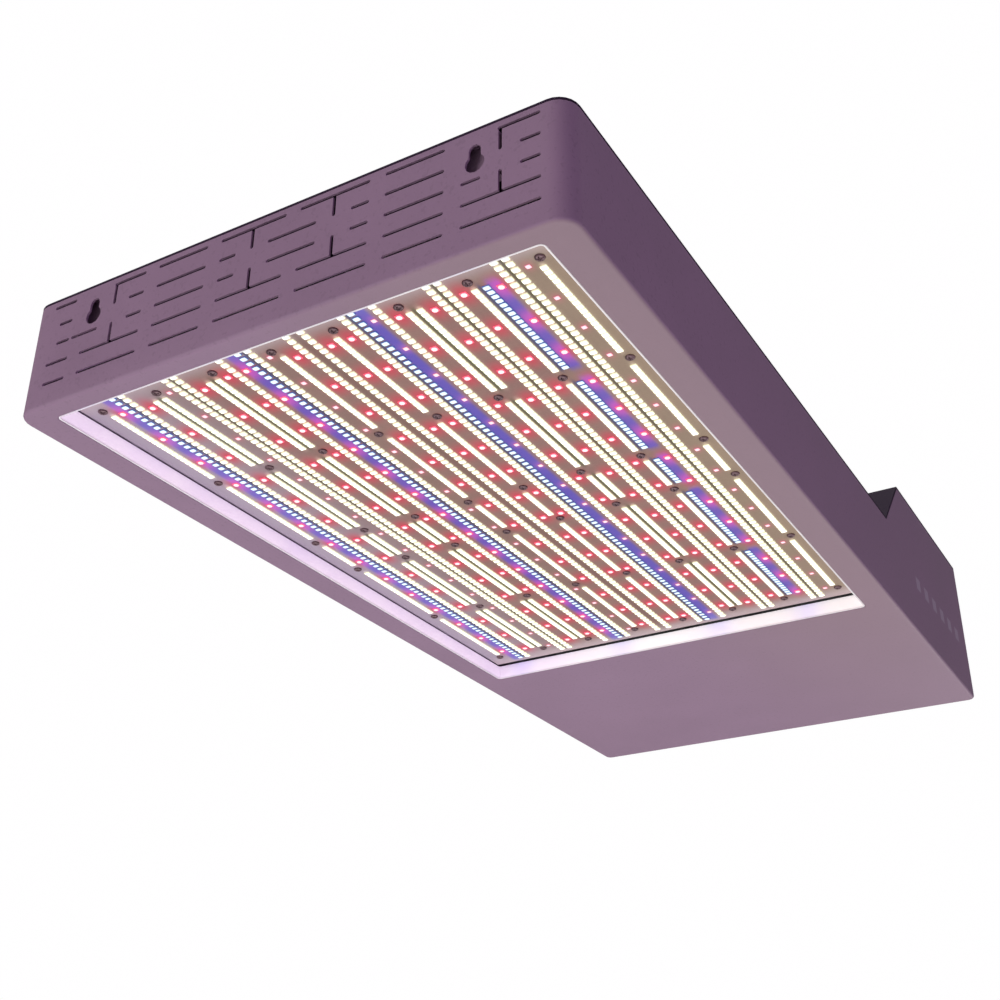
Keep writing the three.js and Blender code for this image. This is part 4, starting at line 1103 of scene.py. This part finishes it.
for end in ("front", "rear"):
    axis = np.array(joints[f"{end}_fan_spin"]["pos_m"])
    points, *faces = rotor_shape()
    placed = (points + axis * (1, 1, 0), *faces)
    make_piece(f"{end}_fan_blades", placed, black_plastic, body=f"{end}_fan",
               replaced=[f"fan_rotor_{end}"])
    soften(f"fan_frame_{end}", black_plastic, edge=0.25 * MM)

# %% [markdown]
# ## What the housing holds
#
# The rest is made of plain bought-in parts: rails, partition, spacers, drivers, a terminal strip, the
# mains inlet and the leads. Their CAD shapes are right, so each gets rounded edges and its finish. The
# leads are eight-sided in the CAD, and a Subdivision Surface makes them round.

# %% Inner parts
SOFTENED = (
    ("cover_rail_left", zinc, "zinc_plate", 0.2),
    ("cover_rail_right", zinc, "zinc_plate", 0.2),
    ("partition", zinc, "zinc_plate", 0.2),
    ("sink_post_left_1", zinc, "zinc_plate", 0.2),
    ("sink_post_left_2", zinc, "zinc_plate", 0.2),
    ("sink_post_right_1", zinc, "zinc_plate", 0.2),
    ("sink_post_right_2", zinc, "zinc_plate", 0.2),
    ("grommet_left", rubber, "rubber", 0.4),
    ("grommet_right", rubber, "rubber", 0.4),
    ("driver_left", driver_skin, "driver_case", 0.5),
    ("driver_right", driver_skin, "driver_case", 0.5),
    ("terminal_block", grey_plastic, "grey_plastic", 0.4),
    ("inlet_socket", black_plastic, "black_plastic", 0.3),
    ("inlet_pin_live", brass, "brass", 0.35),
    ("inlet_pin_neutral", brass, "brass", 0.35),
    ("inlet_pin_earth", brass, "brass", 0.35),
)
for node, finish, slot, edge in SOFTENED:
    soften(node, finish, edge=edge * MM)
for node in sorted(nodes):
    if node.endswith("_lead") or "_lead_" in node:
        soften(node, rubber, edge=0, levels=2)
print(len(SOFTENED), "inner parts softened")

# %% [markdown]
# ## Floor and light
#
# The light hangs about a metre above a plain pale floor, in a pale room. Soft light comes from below
# the vented end and from the front, so that the bottom is the lightest face, the vented end comes next
# and the long side is the darkest; a faint violet lamp keeps that side from going grey. The room is
# white to the camera and dimmer as a light, which a Light Path node tells apart.

# %% Floor, world and lamps
FLOOR_Z = -1.15
FLOOR_HALF = 12.0


def floor_finish():
    """Pale matt floor with a trace of cloud."""
    pale = Finish("pale_floor")
    cloud = pale.noise(0.7, detail=2)
    pale.feed("Base Color", pale.mix(cloud, (0.80, 0.79, 0.80), (0.84, 0.83, 0.84)))
    pale.feed("Roughness", 0.7 + 0.1 * cloud)
    return pale


floor_mesh = bpy.data.meshes.new("floor")
corners = [(x * FLOOR_HALF, y * FLOOR_HALF, FLOOR_Z) for x, y in ((-1, -1), (1, -1), (1, 1), (-1, 1))]
floor_mesh.from_pydata(corners, [], [(0, 1, 2, 3)])
floor_mesh.materials.append(floor_finish().material)
floor = bpy.data.objects.new("floor", floor_mesh)
bpy.context.scene.collection.objects.link(floor)


def light_room(seen, given):
    """A white world: strength seen by the camera, and strength given as light."""
    world = bpy.data.worlds.new("pale_room")
    world.use_nodes = True
    bpy.context.scene.world = world
    tree = world.node_tree
    background = tree.nodes["Background"]
    background.inputs["Color"].default_value = (1.0, 0.995, 1.0, 1)
    path = tree.nodes.new("ShaderNodeLightPath")
    strength = tree.nodes.new("ShaderNodeMapRange")
    strength.inputs["To Min"].default_value = given
    strength.inputs["To Max"].default_value = seen
    tree.links.new(path.outputs["Is Camera Ray"], strength.inputs["Value"])
    tree.links.new(strength.outputs["Result"], background.inputs["Strength"])


def softbox(name, place, target, size, power, colour=(1, 1, 1)):
    """A square area lamp at place that faces target."""
    data = bpy.data.lights.new(name, "AREA")
    data.size = size
    data.energy = power
    data.color = colour
    lamp = bpy.data.objects.new(name, data)
    bpy.context.scene.collection.objects.link(lamp)
    lamp.location = place
    lamp.rotation_mode = "QUATERNION"
    lamp.rotation_quaternion = (Vector(target) - Vector(place)).to_track_quat("-Z", "Y")


light_room(seen=1.0, given=0.20)
softbox("lamp_below", (-0.1, 0.1, -1.05), (0, 0, 0), 1.4, 10.5, (0.96, 1.06, 0.98))
softbox("lamp_front", (-1.2, -2.0, -0.3), (0, -0.2, 0.05), 1.2, 25)
softbox("lamp_side", (1.9, -1.0, 0.1), (0, 0, 0.05), 1.2, 8, (0.75, 0.50, 1.0))
softbox("lamp_behind", (0.4, 2.0, -0.9), (0, 0.2, 0), 1.0, 9)
softbox("lamp_above", (-0.3, -0.2, 1.9), (0, 0, 0), 1.6, 16)
bpy.context.scene.view_settings.view_transform = "Standard"
